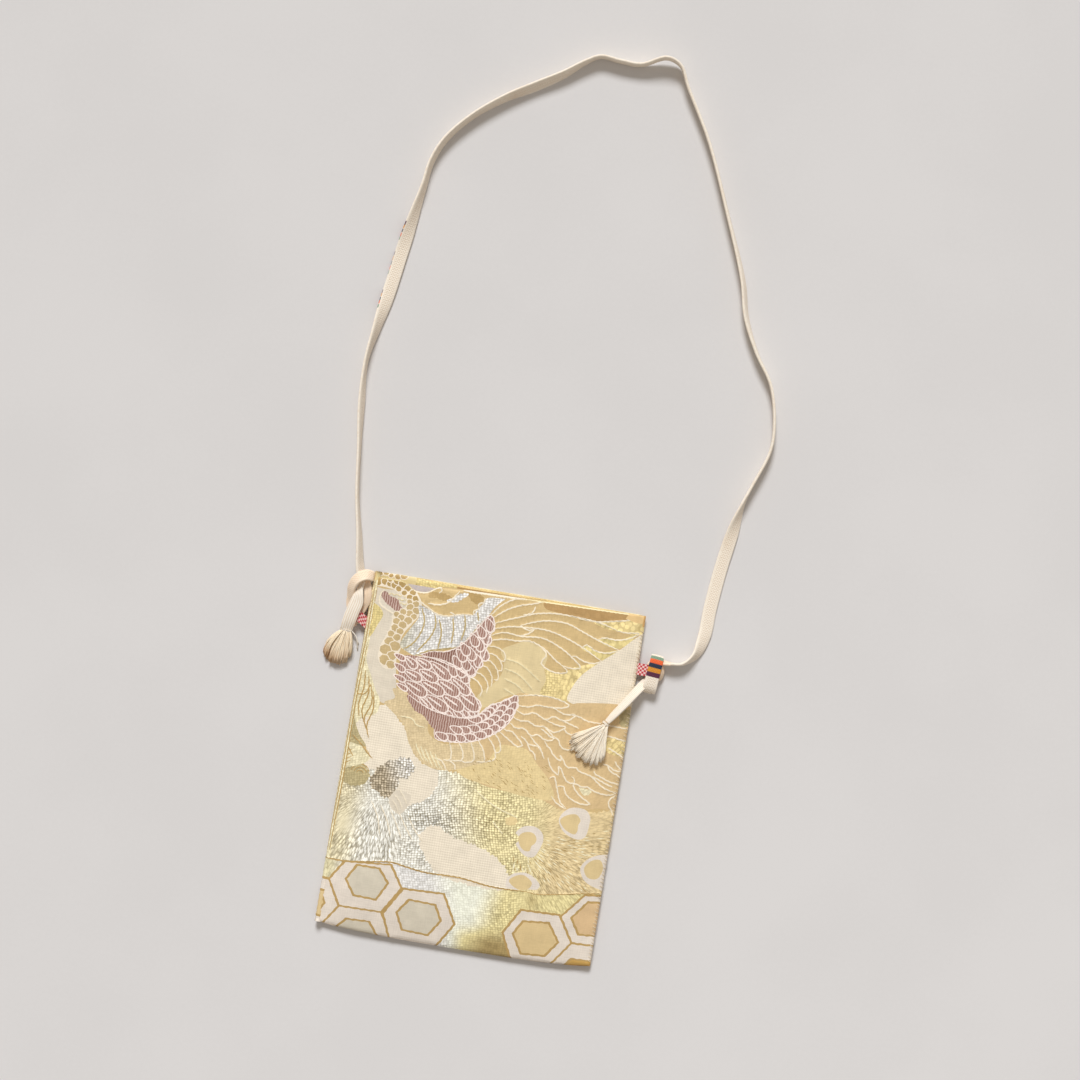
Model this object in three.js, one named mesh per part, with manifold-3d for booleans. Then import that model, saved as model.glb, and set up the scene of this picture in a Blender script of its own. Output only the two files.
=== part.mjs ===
// Flat brocade shoulder bag lying on its back, with a strap made of one flat woven cord.
// Millimetres, +Z up, +Y towards the mouth, origin under the middle of the bag.
import * as THREE from 'three';
import { mergeVertices } from 'three/addons/utils/BufferGeometryUtils.js';
import Module from 'manifold-3d';

// Bag
const BAG_WIDTH = 227;          // across the bottom
const MOUTH_NARROWING = 4;      // how much narrower it is across the mouth
const BAG_HEIGHT = 292;         // bottom to mouth, along the middle
const BAG_DEPTH = 13;           // floor to the top of the puffed front
const CORNER_RISE = 4;          // the bottom corners are drawn up by this much
const FRONT_DROP = 4.5;         // the front's mouth edge is this much short at its left end
const BROCADE = 1.3;            // brocade with its stiffening
const LINING = 0.6;
const HEM_DEPTH = 22;           // cloth turned in at the mouth
const SEAM_HEIGHT = 5;          // the side seam's middle above the floor
const SEAM_ROLL = 3;            // back cloth that shows on the front along the left seam
const CLEARANCE = 0.3;          // between cloths that touch
const LINING_GAP = 0.45;        // between the lining and the brocade it lies against
const EDGE_SOFTNESS = 0.5;      // how far the cloth rounds off at its very edge
const MOUTH_CLOSING = 0.22;     // share of the puff that is lost at the mouth
const FLAT_BACK = 0.45;         // puff at which the back lies flat on the floor
const RIPPLE = 0.6;             // soft waves in the front
const RIPPLE_WAVES = [          // share, turns across, turns along, phase
  [0.6, 3.4, 2.2, 0.4],
  [0.4, 5.1, -4.3, 1.9],
];
const SIDE_FULLNESS = 6;        // how squarely the puff falls off to the sides,
const BOTTOM_FULLNESS = 12;     // to the bottom
const MOUTH_FULLNESS = 8;       // and to the mouth
const LINING_PUFF = 0.22;       // puff at the lining's edge, where the pocket grows too thin for it
const LINING_FOOT_PUFF = 0.53;  // the same along the bottom

// Tape loops in the side seams
const LOOP_WIDTH = 9.5;
const LOOP_TAPE = 0.8;
const LOOP_EYE = 5.4;           // height inside the loop
const LOOP_THROAT = 2.2;        // stretch by the seam where both layers lie together
const LOOP_DROP = 42.5;         // loop's middle below the mouth
const LEFT_LOOP_REACH = 10.5;
const LEFT_LOOP_RISE = 0.7;     // the left loop is pulled towards the mouth, rise per reach
const RIGHT_LOOP_REACH = 13.5;

// Cord
const CORD_WIDTH = 11;
const CORD_THICKNESS = 2.8;
const CORD_ROUND = 0.9;         // corner of the cord's section
const FOLDED_WIDTH = 4;         // the cord bunched up where it passes through a loop
const FOLDED_THICKNESS = 2.6;
const LEFT_COLLAR_WIDTH = 8;    // the left hitch's collar is turned partly on its edge
const TASSEL_NECK = 8;
const TASSEL_HEIGHT = 7;
const TASSEL_FLUTES = 9;
const TASSEL_FLUTE_DEPTH = 0.1; // share of the radius
const NECK_FLATNESS = 0.6;      // the tassel's neck, height by width

// Mesh fineness
const PANEL_COLUMNS = 22;
const PANEL_ROWS = 24;
const LINING_COLUMNS = 12;
const LINING_ROWS = 12;
const STRAP_STEPS = 66;
const HITCH_STEPS = 24;
const COLLAR_STEPS = 16;
const TAIL_STEPS = 8;
const LOOP_ARC_STEPS = 10;
const HEM_ROWS = 3;
const TASSEL_ROWS = 4;
const FLUTE_STEPS = 4;
const COLUMN_BUNCHING = 1.7;
const ROW_BUNCHING = 1.5;

// The strap from the left hitch round to the right one: x, y, lean in degrees and lift off the floor.
// Lean 0 and 180 lie flat, 90 stands on edge.
const STRAP_ROUTE = [
  [-125.2, 149, 62, 0.5], [-130, 174, 76, 0], [-137, 206, 86, 0], [-142, 245, 84, 0],
  [-146, 281, 70, 0], [-148, 315, 82, 0], [-144, 343, 60, 0], [-139, 374, 12, 0],
  [-134, 409, 8, 0], [-129, 440, 48, 0], [-125, 464, 72, 0], [-122, 485, 75, 0],
  [-114, 504, 76, 0], [-96, 526, 78, 0], [-71, 546, 70, 0], [-49, 559, 58, 0],
  [-27, 573, 68, 0], [-12, 585, 82, 0], [0, 592, 90, 0], [17, 591, 90, 0],
  [34, 591, 90, 0], [54, 599, 90, 4], [66, 595, 93, 2], [75, 579, 96, 0],
  [99, 538, 97, 0], [123, 484, 100, 0], [145, 431, 110, 0], [153, 401, 111, 0],
  [166, 374, 101, 0], [182, 349, 96, 0], [190, 317, 95, 0], [190, 296, 96, 0],
  [180, 266, 94, 0], [175, 250, 105, 0], [170, 221, 165, 0], [166, 193, 178, 0],
  [163, 160, 178, 0], [162, 139, 165, 0], [155, 121, 110, 0], [138, 111.8, 90, 0.3],
];

// Hitches: x, y, z of the cord's middle, then the direction across the cord.
const LEFT_STRAND_ROUTE = [
  [-125, 148, 5.2, 0.8, 0.3, 0.5], [-121.5, 141, 4.4, 0.8, 0.5, 0.3], [-116.6, 135, 6.2, 0.9, 0.3, 0],
  [-114.6, 128, 7.8, 1, 0, -0.2], [-115, 121, 7.2, 1, 0, -0.2], [-117.6, 115, 5.4, 1, 0.2, 0],
  [-119, 109, 5, 1, 0.2, 0], [-119.8, 103.6, 4.4, 0.8, 0.6, 0], [-122.6, 101, 2, 0.1, 1, 0],
  [-125.6, 104, 1.7, -0.8, 0.5, 0], [-128.8, 113, 2, -1, 0.3, 0], [-131.4, 120, 3.2, -1, 0, -0.3],
  [-131.8, 127, 7, -0.8, 0, -0.6],
];
const LEFT_COLLAR_ROUTE = [
  [-131.6, 124, 5, -0.6, 0, -0.8], [-131.8, 129.5, 8.6, -0.6, 0.1, -0.8],
  [-129.6, 136.4, 11.4, -0.5, 0.35, -0.75], [-124, 141.6, 12.4, -0.3, 0.6, -0.7],
  [-118, 143.4, 11.2, 0, 0.7, -0.7], [-113.6, 143, 8.4, 0.1, 0.75, -0.65],
];
const LEFT_TAIL_ROUTE = [
  [-123, 127.5, 10.4, 0.7, 0, 0.7], [-123.8, 120, 11, 0.93, 0, 0.36], [-125.4, 112, 10.4, 1, 0, 0.14],
  [-127, 103.5, 8.2, 1, 0.1, 0.07], [-128.2, 96, 3.8, 1, 0.1, 0],
];
const RIGHT_STRAND_ROUTE = [
  [137, 111.6, 5.6, 0, 0.6, 0.8], [131, 111.6, 4.8, 0, 1, 0.3], [125.6, 111.6, 4.9, 0.3, 1, 0],
  [121.7, 109.2, 5, 0.9, 0.3, 0], [121.6, 103.5, 5, 1, 0, 0], [122, 98.4, 5, 0.9, -0.4, 0],
  [125.6, 95.6, 4.8, 0.3, -1, 0],
];
const RIGHT_TURN_ROUTE = [
  [123, 96.4, 4.9, 0.3, -1, 0], [127.5, 95.6, 4.8, -0.2, -1, 0], [131.6, 98.4, 5, -0.8, -0.6, 0],
  [133, 103, 5.4, -1, 0, 0.2], [131.8, 108, 5.4, -0.9, 0.4, 0], [128.4, 112.6, 4, -0.4, 1, 0],
];
const RIGHT_COLLAR_ROUTE = [
  [127.2, 113, 3, 1, -0.09, 0], [127, 116, 6.4, 1, -0.09, 0], [126.6, 113, 9.8, 1, -0.09, 0],
  [125.9, 106, 10.6, 1, -0.09, 0], [125.2, 98, 10.6, 1, -0.09, 0], [124.5, 90, 9.6, 1, -0.09, 0],
  [124.2, 87, 6.2, 1, -0.09, 0], [124.4, 89.6, 3, 1, -0.09, 0],
];
const RIGHT_TAIL_ROUTE = [
  [115.8, 90, 8, -0.5, 0.3, 0.82], [111.6, 83.8, 11.4, -0.5, 0.3, 0.82],
  [105, 74, 13.6, -0.5, 0.3, 0.82], [98, 63, 15, -0.55, 0.35, 0.76], [94.4, 56.4, 15.4, -0.75, 0.45, 0.5],
];

// Tassels: neck, then tip, with the spread at the tip
const LEFT_TASSEL = { neck: [-128.4, 94.8, 3.6], tip: [-129.4, 68, 3.7], spread: 21 };
const RIGHT_TASSEL = { neck: [94, 55.6, 15.6], tip: [83, 26, 15], spread: 26 };

const HALF_HEIGHT = BAG_HEIGHT / 2;
const EDGE_TOP = SEAM_HEIGHT + CLEARANCE / 2 + BROCADE;
const EDGE_BOTTOM = SEAM_HEIGHT - CLEARANCE / 2 - BROCADE;
const HEM_START = 1 - 2 * HEM_DEPTH / BAG_HEIGHT;
const EDGE_SHARE = 1e-4;        // share of the half width that counts as the very edge
const SEAM_STEP = 6e-4;         // share of the half width over which the rolled seam steps down
const HEM_STEP = 1e-3;          // share of the height over which the hem's raw edge steps in

// Bag surfaces, over u from -1 (left) to 1 (right) and v from -1 (bottom) to 1 (mouth)
const halfWidth = (v) => (BAG_WIDTH - MOUTH_NARROWING * (v + 1) / 2) / 2;
const sidePuff = (u) => 1 - Math.abs(u) ** SIDE_FULLNESS;
const bottomPuff = (v) => 1 - ((1 - v) / 2) ** BOTTOM_FULLNESS;
const mouthPuff = (v) => 1 - MOUTH_CLOSING * ((1 + v) / 2) ** MOUTH_FULLNESS;
const puff = (u, v) => sidePuff(u) * bottomPuff(v) * mouthPuff(v);
const atEdge = (u, v) => Math.max(Math.abs(u), -v) > 1 - EDGE_SHARE;

function ripple(u, v) {
  const height = ([share, across, along, phase]) => share * Math.sin(across * u + along * v + phase);
  const total = RIPPLE_WAVES.reduce((sum, wave) => sum + height(wave), 0);
  return RIPPLE * puff(u, v) * (total - 1);
}

function frontOuter(u, v) {
  const rounding = atEdge(u, v) ? EDGE_SOFTNESS : 0;
  return EDGE_TOP + (BAG_DEPTH - EDGE_TOP) * puff(u, v) + ripple(u, v) - rounding;
}

function backOuter(u, v) {
  const lifted = Math.max(0, 1 - puff(u, v) / FLAT_BACK);
  const rounding = atEdge(u, v) ? EDGE_SOFTNESS : 0;
  return EDGE_BOTTOM * lifted ** 2 + rounding;
}

const frontInner = (u, v) => EDGE_TOP - BROCADE + (BAG_DEPTH - EDGE_TOP) * puff(u, v) + ripple(u, v);
const backInner = (u, v) => BROCADE + EDGE_BOTTOM * Math.max(0, 1 - puff(u, v) / FLAT_BACK) ** 2;

// The turned-in hem doubles the cloth, as far as the pocket leaves room for it
function hem(u, v) {
  if (v < HEM_START + HEM_STEP / 2) return 0;
  const room = (frontInner(u, v) - backInner(u, v) - CLEARANCE) / 2;
  return THREE.MathUtils.clamp(room, 0, BROCADE);
}

const bottomEdge = (u) => -HALF_HEIGHT + CORNER_RISE * u ** 4;
const backMouthEdge = () => HALF_HEIGHT;
const frontMouthEdge = (u) => HALF_HEIGHT - FRONT_DROP * (1 - u) / 2;

// A closed sheet: a box of one layer whose columns and rows are moved onto two surfaces
function sheet(columns, rows, place, over, under) {
  const nx = columns.length - 1;
  const ny = rows.length - 1;
  const geometry = new THREE.BoxGeometry(nx, ny, 1, nx, ny, 1);
  const position = geometry.getAttribute('position');
  for (let i = 0; i < position.count; i += 1) {
    const u = columns[Math.round(position.getX(i) + nx / 2)];
    const v = rows[Math.round(position.getY(i) + ny / 2)];
    const [x, y] = place(u, v);
    const z = position.getZ(i) > 0 ? over(u, v) : under(u, v);
    position.setXYZ(i, x, y, z);
  }
  return closed(geometry);
}

function closed(geometry) {
  geometry.deleteAttribute('normal');
  geometry.deleteAttribute('uv');
  const merged = mergeVertices(geometry, 1e-4);
  merged.computeVertexNormals();
  return merged;
}

function spread(from, to, count) {
  return Array.from({ length: count + 1 }, (_, i) => from + (to - from) * i / count);
}

const byValue = (a, b) => a - b;

// Rows and columns that keep close to the edges, where the cloth bends most
const bunched = (t) => Math.sign(t) * (1 - (1 - Math.abs(t)) ** COLUMN_BUNCHING);

function panelColumns(from) {
  return spread(-1, 1, PANEL_COLUMNS).map((t) => from + (1 - from) * (bunched(t) + 1) / 2);
}

function panelRows() {
  const below = spread(0, 1, PANEL_ROWS).map((t) => -1 + (HEM_START + 1) * t ** ROW_BUNCHING);
  const hemRows = spread(HEM_START + HEM_STEP, 1, HEM_ROWS);
  return [...below, ...hemRows].sort(byValue);
}

const place = (mouthEdge) => (u, v) => {
  const t = (v + 1) / 2;
  return [u * halfWidth(v), THREE.MathUtils.lerp(bottomEdge(u), mouthEdge(u), t)];
};

function frontPanel() {
  const start = -1 + 2 * SEAM_ROLL / BAG_WIDTH;
  return sheet(panelColumns(start), panelRows(), place(frontMouthEdge), frontOuter,
    (u, v) => frontInner(u, v) - hem(u, v));
}

function backPanel() {
  const seam = -1 + 2 * (SEAM_ROLL - CLEARANCE) / BAG_WIDTH;
  const beyond = seam + SEAM_STEP;
  const columns = [-1, (seam - 1) / 2, seam, ...panelColumns(beyond)];
  const rounding = (u) => (u < EDGE_SHARE - 1 ? 2 * EDGE_SOFTNESS : 0);
  const rolledTop = (u, v) => EDGE_TOP + (BAG_DEPTH - EDGE_TOP) * puff(seam, v) - rounding(u);
  const over = (u, v) => (u <= seam ? rolledTop(u, v) : backInner(u, v) + hem(u, v));
  return sheet(columns, panelRows(), place(backMouthEdge), over, backOuter);
}

// The linings stop where the pocket grows too thin for them
const liningBottom = 1 - 2 * (1 - LINING_FOOT_PUFF) ** (1 / BOTTOM_FULLNESS);
const liningTop = HEM_START - 2 * CLEARANCE / BAG_HEIGHT;

function liningPlace(mouthEdge) {
  const whole = place(mouthEdge);
  return (u, v) => whole(u * liningReach(v), v);
}

const liningReach = (v) => (1 - LINING_PUFF / (bottomPuff(v) * mouthPuff(v))) ** (1 / SIDE_FULLNESS);

function liningSheet(mouthEdge, over, under) {
  const columns = spread(-1, 1, LINING_COLUMNS).map(bunched);
  const rowAt = (t) => THREE.MathUtils.lerp(liningBottom, liningTop, t ** ROW_BUNCHING);
  const rows = spread(0, 1, LINING_ROWS).map(rowAt);
  const reached = (surface) => (u, v) => surface(u * liningReach(v), v);
  return sheet(columns, rows, liningPlace(mouthEdge), reached(over), reached(under));
}

const frontLining = () => liningSheet(frontMouthEdge,
  (u, v) => frontInner(u, v) - LINING_GAP, (u, v) => frontInner(u, v) - LINING_GAP - LINING);
const backLining = () => liningSheet(backMouthEdge,
  (u, v) => backInner(u, v) + LINING_GAP + LINING, (u, v) => backInner(u, v) + LINING_GAP);

// A loop of tape seen from its side: two layers that part round an eye
function tapeLoop(reach, rise, side) {
  const outer = LOOP_EYE / 2 + LOOP_TAPE;
  const turn = reach - outer;
  const rim = new THREE.Shape();
  rim.moveTo(0, -LOOP_TAPE);
  rim.lineTo(LOOP_THROAT / 2, -LOOP_TAPE);
  rim.lineTo(turn, -outer);
  rim.absarc(turn, 0, outer, -Math.PI / 2, Math.PI / 2);
  rim.lineTo(LOOP_THROAT / 2, LOOP_TAPE);
  rim.lineTo(0, LOOP_TAPE);
  const eye = new THREE.Path();
  eye.moveTo(LOOP_THROAT, 0);
  eye.lineTo(turn, -LOOP_EYE / 2);
  eye.absarc(turn, 0, LOOP_EYE / 2, -Math.PI / 2, Math.PI / 2);
  rim.holes.push(eye);
  const options = { depth: LOOP_WIDTH, steps: 1, bevelEnabled: false, curveSegments: LOOP_ARC_STEPS };
  const geometry = new THREE.ExtrudeGeometry(rim, options);
  const middle = HALF_HEIGHT - LOOP_DROP;
  const seam = halfWidth(2 * (middle - LOOP_WIDTH / 2) / BAG_HEIGHT) + CLEARANCE;
  const position = geometry.getAttribute('position');
  for (let i = 0; i < position.count; i += 1) {
    const out = position.getX(i);
    const height = position.getY(i);
    const along = side * (position.getZ(i) - LOOP_WIDTH / 2);
    position.setXYZ(i, side * (seam + out), middle - along + rise * out, SEAM_HEIGHT + height);
  }
  return closed(geometry);
}

// A route for the flat cord whose section is turned by a given direction across it
class CordRoute extends THREE.CatmullRomCurve3 {
  constructor(points, acrossAt) {
    super(points, false, 'centripetal');
    this.acrossAt = acrossAt;
  }

  computeFrenetFrames(segments) {
    const frames = { tangents: [], normals: [], binormals: [] };
    for (const u of spread(0, 1, segments)) {
      const tangent = this.getTangentAt(u).normalize();
      const across = this.acrossAt(this.getUtoTmapping(u), tangent);
      across.addScaledVector(tangent, -across.dot(tangent)).normalize();
      frames.tangents.push(tangent);
      frames.normals.push(across);
      frames.binormals.push(new THREE.Vector3().crossVectors(tangent, across));
    }
    return frames;
  }
}

function between(values, t) {
  const scaled = t * (values.length - 1);
  const low = Math.min(Math.floor(scaled), values.length - 2);
  return [values[low], values[low + 1], scaled - low];
}

function cordSection(width, thickness) {
  const w = width / 2;
  const h = thickness / 2;
  const r = CORD_ROUND;
  const corners = [
    [w, r - h], [w, h - r], [w - r, h], [r - w, h], [-w, h - r], [-w, r - h], [r - w, -h], [w - r, -h],
  ];
  return new THREE.Shape(corners.map(([x, y]) => new THREE.Vector2(x, y)));
}

function cordAlong(route, width, thickness, steps) {
  return closed(new THREE.ExtrudeGeometry(cordSection(width, thickness), { steps, extrudePath: route }));
}

const UP = new THREE.Vector3(0, 0, 1);

function leaningRoute(stations) {
  const radians = stations.map(([, , lean]) => THREE.MathUtils.degToRad(lean));
  const points = stations.map(([x, y, , lift], i) => {
    const upright = CORD_WIDTH * Math.abs(Math.sin(radians[i]));
    const flat = CORD_THICKNESS * Math.abs(Math.cos(radians[i]));
    return new THREE.Vector3(x, y, (upright + flat) / 2 + lift + CLEARANCE);
  });
  const acrossAt = (t, tangent) => {
    const [from, to, share] = between(radians, t);
    const lean = THREE.MathUtils.lerp(from, to, share);
    const side = new THREE.Vector3().crossVectors(UP, tangent).normalize();
    return side.multiplyScalar(Math.cos(lean)).addScaledVector(UP, Math.sin(lean));
  };
  return new CordRoute(points, acrossAt);
}

function turnedRoute(stations) {
  const points = stations.map(([x, y, z]) => new THREE.Vector3(x, y, z));
  const across = stations.map(([, , , x, y, z]) => new THREE.Vector3(x, y, z).normalize());
  const acrossAt = (t) => {
    const [from, to, share] = between(across, t);
    return from.clone().lerp(to, share);
  };
  return new CordRoute(points, acrossAt);
}

const wasm = await Module();
wasm.setup();

function solid(geometry) {
  const vertProperties = new Float32Array(geometry.getAttribute('position').array);
  const triVerts = new Uint32Array(geometry.getIndex().array);
  return new wasm.Manifold(new wasm.Mesh({ numProp: 3, vertProperties, triVerts }));
}

function joined(geometries) {
  const mesh = wasm.Manifold.union(geometries.map(solid)).getMesh();
  const geometry = new THREE.BufferGeometry();
  geometry.setAttribute('position', new THREE.BufferAttribute(mesh.vertProperties, 3));
  geometry.setIndex(new THREE.BufferAttribute(mesh.triVerts, 1));
  return closed(geometry);
}

const folded = (stations) => cordAlong(turnedRoute(stations), FOLDED_WIDTH, FOLDED_THICKNESS, HITCH_STEPS);
const collar = (stations, width) => cordAlong(turnedRoute(stations), width, CORD_THICKNESS, COLLAR_STEPS);
const tail = (stations) => cordAlong(turnedRoute(stations), CORD_WIDTH, CORD_THICKNESS, TAIL_STEPS);

const strap = () => cordAlong(leaningRoute(STRAP_ROUTE), CORD_WIDTH, CORD_THICKNESS, STRAP_STEPS);
const leftKnot = () => joined([folded(LEFT_STRAND_ROUTE), collar(LEFT_COLLAR_ROUTE, LEFT_COLLAR_WIDTH)]);
const rightKnot = () => joined([
  folded(RIGHT_STRAND_ROUTE), folded(RIGHT_TURN_ROUTE), collar(RIGHT_COLLAR_ROUTE, CORD_WIDTH),
]);

// A tassel: a fluted cone, flattened, from its neck to its loose ends
function tassel({ neck, tip, spread: reach }) {
  const from = new THREE.Vector3(...neck);
  const axis = new THREE.Vector3(...tip).sub(from);
  const length = axis.length();
  const geometry = new THREE.CylinderGeometry(reach / 2, TASSEL_NECK / 2, length,
    FLUTE_STEPS * TASSEL_FLUTES, TASSEL_ROWS);
  const position = geometry.getAttribute('position');
  const flatness = TASSEL_HEIGHT / reach;
  for (let i = 0; i < position.count; i += 1) {
    const x = position.getX(i);
    const z = position.getZ(i);
    const share = position.getY(i) / length + 0.5;
    const flute = 1 - TASSEL_FLUTE_DEPTH * share * (1 + Math.cos(TASSEL_FLUTES * Math.atan2(z, x)));
    const height = z * flute * THREE.MathUtils.lerp(NECK_FLATNESS, flatness, share);
    position.setXYZ(i, x * flute, position.getY(i) + length / 2, height);
  }
  const along = axis.normalize();
  const sideways = new THREE.Vector3().crossVectors(along, UP).normalize();
  const upright = new THREE.Vector3().crossVectors(sideways, along);
  geometry.applyMatrix4(new THREE.Matrix4().makeBasis(sideways, along, upright).setPosition(from));
  return closed(geometry);
}

function material(color, roughness, metalness) {
  return new THREE.MeshStandardMaterial({ color, roughness, metalness });
}

const brocade = () => material('#cdb27c', 0.55, 0.25);
const liningCloth = () => material('#e6dcc6', 0.8, 0);
const tape = () => material('#d24a50', 0.8, 0);
const cord = () => material('#ebd5b7', 0.75, 0);
const threads = () => material('#e8d6b8', 0.7, 0);

const bag = new THREE.Group();

function add(name, geometry, look) {
  const mesh = new THREE.Mesh(geometry, look);
  mesh.name = name;
  bag.add(mesh);
}

add('front_panel', frontPanel(), brocade());
add('back_panel', backPanel(), brocade());
add('front_lining', frontLining(), liningCloth());
add('back_lining', backLining(), liningCloth());
add('left_loop', tapeLoop(LEFT_LOOP_REACH, LEFT_LOOP_RISE, -1), tape());
add('right_loop', tapeLoop(RIGHT_LOOP_REACH, 0, 1), tape());
add('strap', strap(), cord());
add('left_knot', leftKnot(), cord());
add('right_knot', rightKnot(), cord());
add('left_tail', tail(LEFT_TAIL_ROUTE), cord());
add('right_tail', tail(RIGHT_TAIL_ROUTE), cord());
add('left_tassel', tassel(LEFT_TASSEL), threads());
add('right_tassel', tassel(RIGHT_TASSEL), threads());

export default bag;
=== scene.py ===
"""Looks of a flat brocade shoulder bag with a woven cord strap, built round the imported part.

Lengths are millimetres in the part's frame (+Y towards the mouth, +Z up) until a mesh is made.
"""

import math
import random

import bpy
import numpy as np
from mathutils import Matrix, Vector
from mathutils.geometry import delaunay_2d_cdt


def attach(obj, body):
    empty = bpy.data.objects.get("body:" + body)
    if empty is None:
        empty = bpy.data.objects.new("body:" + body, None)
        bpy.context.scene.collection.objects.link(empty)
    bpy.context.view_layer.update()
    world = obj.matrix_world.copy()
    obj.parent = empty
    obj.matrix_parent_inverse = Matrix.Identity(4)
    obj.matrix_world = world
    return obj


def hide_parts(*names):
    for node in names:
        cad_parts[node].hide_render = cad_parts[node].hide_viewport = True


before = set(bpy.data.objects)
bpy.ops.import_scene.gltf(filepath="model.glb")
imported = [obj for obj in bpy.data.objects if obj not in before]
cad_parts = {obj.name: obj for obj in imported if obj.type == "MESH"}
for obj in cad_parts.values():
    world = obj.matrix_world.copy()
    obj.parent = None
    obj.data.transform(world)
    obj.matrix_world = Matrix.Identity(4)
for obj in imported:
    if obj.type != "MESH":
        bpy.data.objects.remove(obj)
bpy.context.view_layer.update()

MM = 0.001
UP = np.array([0.0, 0.0, 1.0])

# Bag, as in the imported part
BAG_WIDTH = 227
MOUTH_NARROWING = 4
HALF_HEIGHT = 146
BAG_DEPTH = 13
CORNER_RISE = 4
FRONT_DROP = 4.5
MOUTH_SAG = 6.8
SAG_PLACE = -0.65
SAG_REACH = 0.1
HEM_DEPTH = 22
SEAM_ROLL = 3
EDGE_TOP = 6.45
EDGE_BOTTOM = 3.55
MOUTH_CLOSING = 0.22
FLAT_BACK = 0.45
SIDE_FULLNESS = 6
BOTTOM_FULLNESS = 12
MOUTH_FULLNESS = 8
RIPPLE = 0.6
RIPPLE_WAVES = [(0.6, 3.4, 2.2, 0.4), (0.4, 5.1, -4.3, 1.9)]

# Cloth edges
TURN_RADIUS = 1.25              # where the cloth turns under at a seam
TURN_LENGTH = 1.9
TURN_SLOPE = 0.35               # slope of the front at its seams, in radians
FOLD_RADIUS = 1.1               # where the mouth hem turns in
ROLL_RADIUS = 1.85              # where the back rolls up to the front along the left seam
ROLL_SLOPE = 0.7
ROLL_FLAT = 1.6
ROLL_LENGTH = (math.pi - ROLL_SLOPE) * ROLL_RADIUS
BACK_CLEARANCE = 0.25
HEM_LIP = 1.6                   # how far the hem turns over at its two ends
HEM_INSET = 5.0
LINING_GAP = 2                  # between the hem and the lining's upper edge
LINING_OFFSET = 2.0             # lining's middle inside the brocade's outer face

# Cord
CORD_WIDTH = 11
CORD_THICKNESS = 2.8
CORD_CLEARANCE = 0.3
RIB_PITCH = 2.2                 # two rows of the braid, along the cord
RIB_COLUMNS = 9                 # rows of the braid across the cord
LENGTHWISE_RIBS = 6

# Strap from the left hitch round to the right one: x, y, lean in degrees, lift off the floor
STRAP_ROUTE = [
    (-123.4, 143, 55, 0.3), (-125.4, 150, 62, 0.3), (-130, 174, 76, 0), (-137, 206, 86, 0),
    (-142, 245, 84, 0), (-146, 281, 70, 0), (-148, 315, 82, 0), (-144, 343, 60, 0), (-139, 374, 12, 0),
    (-134, 409, 8, 0), (-129, 440, 48, 0), (-125, 464, 72, 0), (-122, 485, 75, 0),
    (-114, 504, 76, 0), (-96, 526, 78, 0), (-71, 546, 70, 0), (-49, 559, 58, 0),
    (-27, 573, 68, 0), (-12, 585, 82, 0), (0, 592, 90, 0), (17, 591, 90, 0),
    (34, 591, 90, 0), (54, 599, 90, 4), (66, 595, 93, 2), (75, 579, 96, 0),
    (99, 538, 97, 0), (123, 484, 100, 0), (145, 431, 110, 0), (153, 401, 111, 0),
    (166, 374, 101, 0), (182, 349, 96, 0), (190, 317, 95, 0), (190, 296, 96, 0),
    (180, 266, 94, 0), (175, 250, 105, 0), (170, 221, 165, 0), (166, 193, 178, 0),
    (163, 160, 178, 0), (162, 139, 165, 0), (157, 121.6, 122, 0), (148, 113.4, 98, 0),
    (138, 111.9, 90, 0.3),
]

# Hitches: x, y, z of the cord's middle, the direction across it, and its width there
LEFT_STRAND_ROUTE = [
    (-123.8, 145, 5.2, 0.5, 0.2, -0.84, 7.6), (-119.8, 140, 5, 0.8, 0.4, -0.3, 6.4),
    (-116.8, 135, 6.2, 0.9, 0.3, 0, 6.4), (-114.9, 128, 7.6, 1, 0, -0.2, 6.2),
    (-114.6, 121, 7, 1, 0, -0.2, 5.4), (-116, 115.4, 5.6, 1, 0.2, 0, 4), (-118.6, 109, 5, 1, 0.2, 0, 4),
    (-119.8, 103.6, 4.4, 0.8, 0.6, 0, 4), (-122.6, 101, 2, 0.1, 1, 0, 4),
    (-125.6, 104, 1.7, -0.8, 0.5, 0, 4.6), (-127.4, 113, 2, -1, 0.3, 0, 6),
    (-128.6, 119, 2.6, -1, 0, -0.3, 6.4), (-128.8, 123, 3.6, -0.8, 0, -0.6, 6.6),
]
LEFT_COLLAR_ROUTE = [
    (-128.4, 119.6, 3, -0.8, 0, -0.6, 7), (-129, 125.2, 5.4, -0.62, 0, -0.78, 8.4),
    (-128.8, 131, 8.8, -0.66, 0.1, -0.74, 9.4),
    (-126.8, 136.6, 11.4, -0.6, 0.4, -0.69, 10.2), (-122.8, 140.8, 12.4, -0.36, 0.68, -0.64, 10.6),
    (-118, 142.9, 11.2, 0, 0.76, -0.65, 10.4), (-113.8, 142.6, 8, 0.1, 0.78, -0.62, 9),
    (-112.9, 142, 5.2, 0.1, 0.78, -0.6, 7),
]
LEFT_TAIL_ROUTE = [
    (-120.4, 137.5, 7, 0.8, 0, 0.6, 4), (-121.8, 131, 9, 0.85, 0, 0.5, 5.6),
    (-122.2, 126, 10.6, 0.93, 0, 0.36, 8.4), (-122.6, 120, 10.6, 0.97, 0.12, 0.2, 11),
    (-124.6, 112, 10.2, 1, 0.2, 0.12, 11), (-126.4, 103.5, 9, 1, 0.24, 0.07, 11),
    (-127.8, 96.4, 6.6, 1, 0.24, 0, 10),
]
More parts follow.
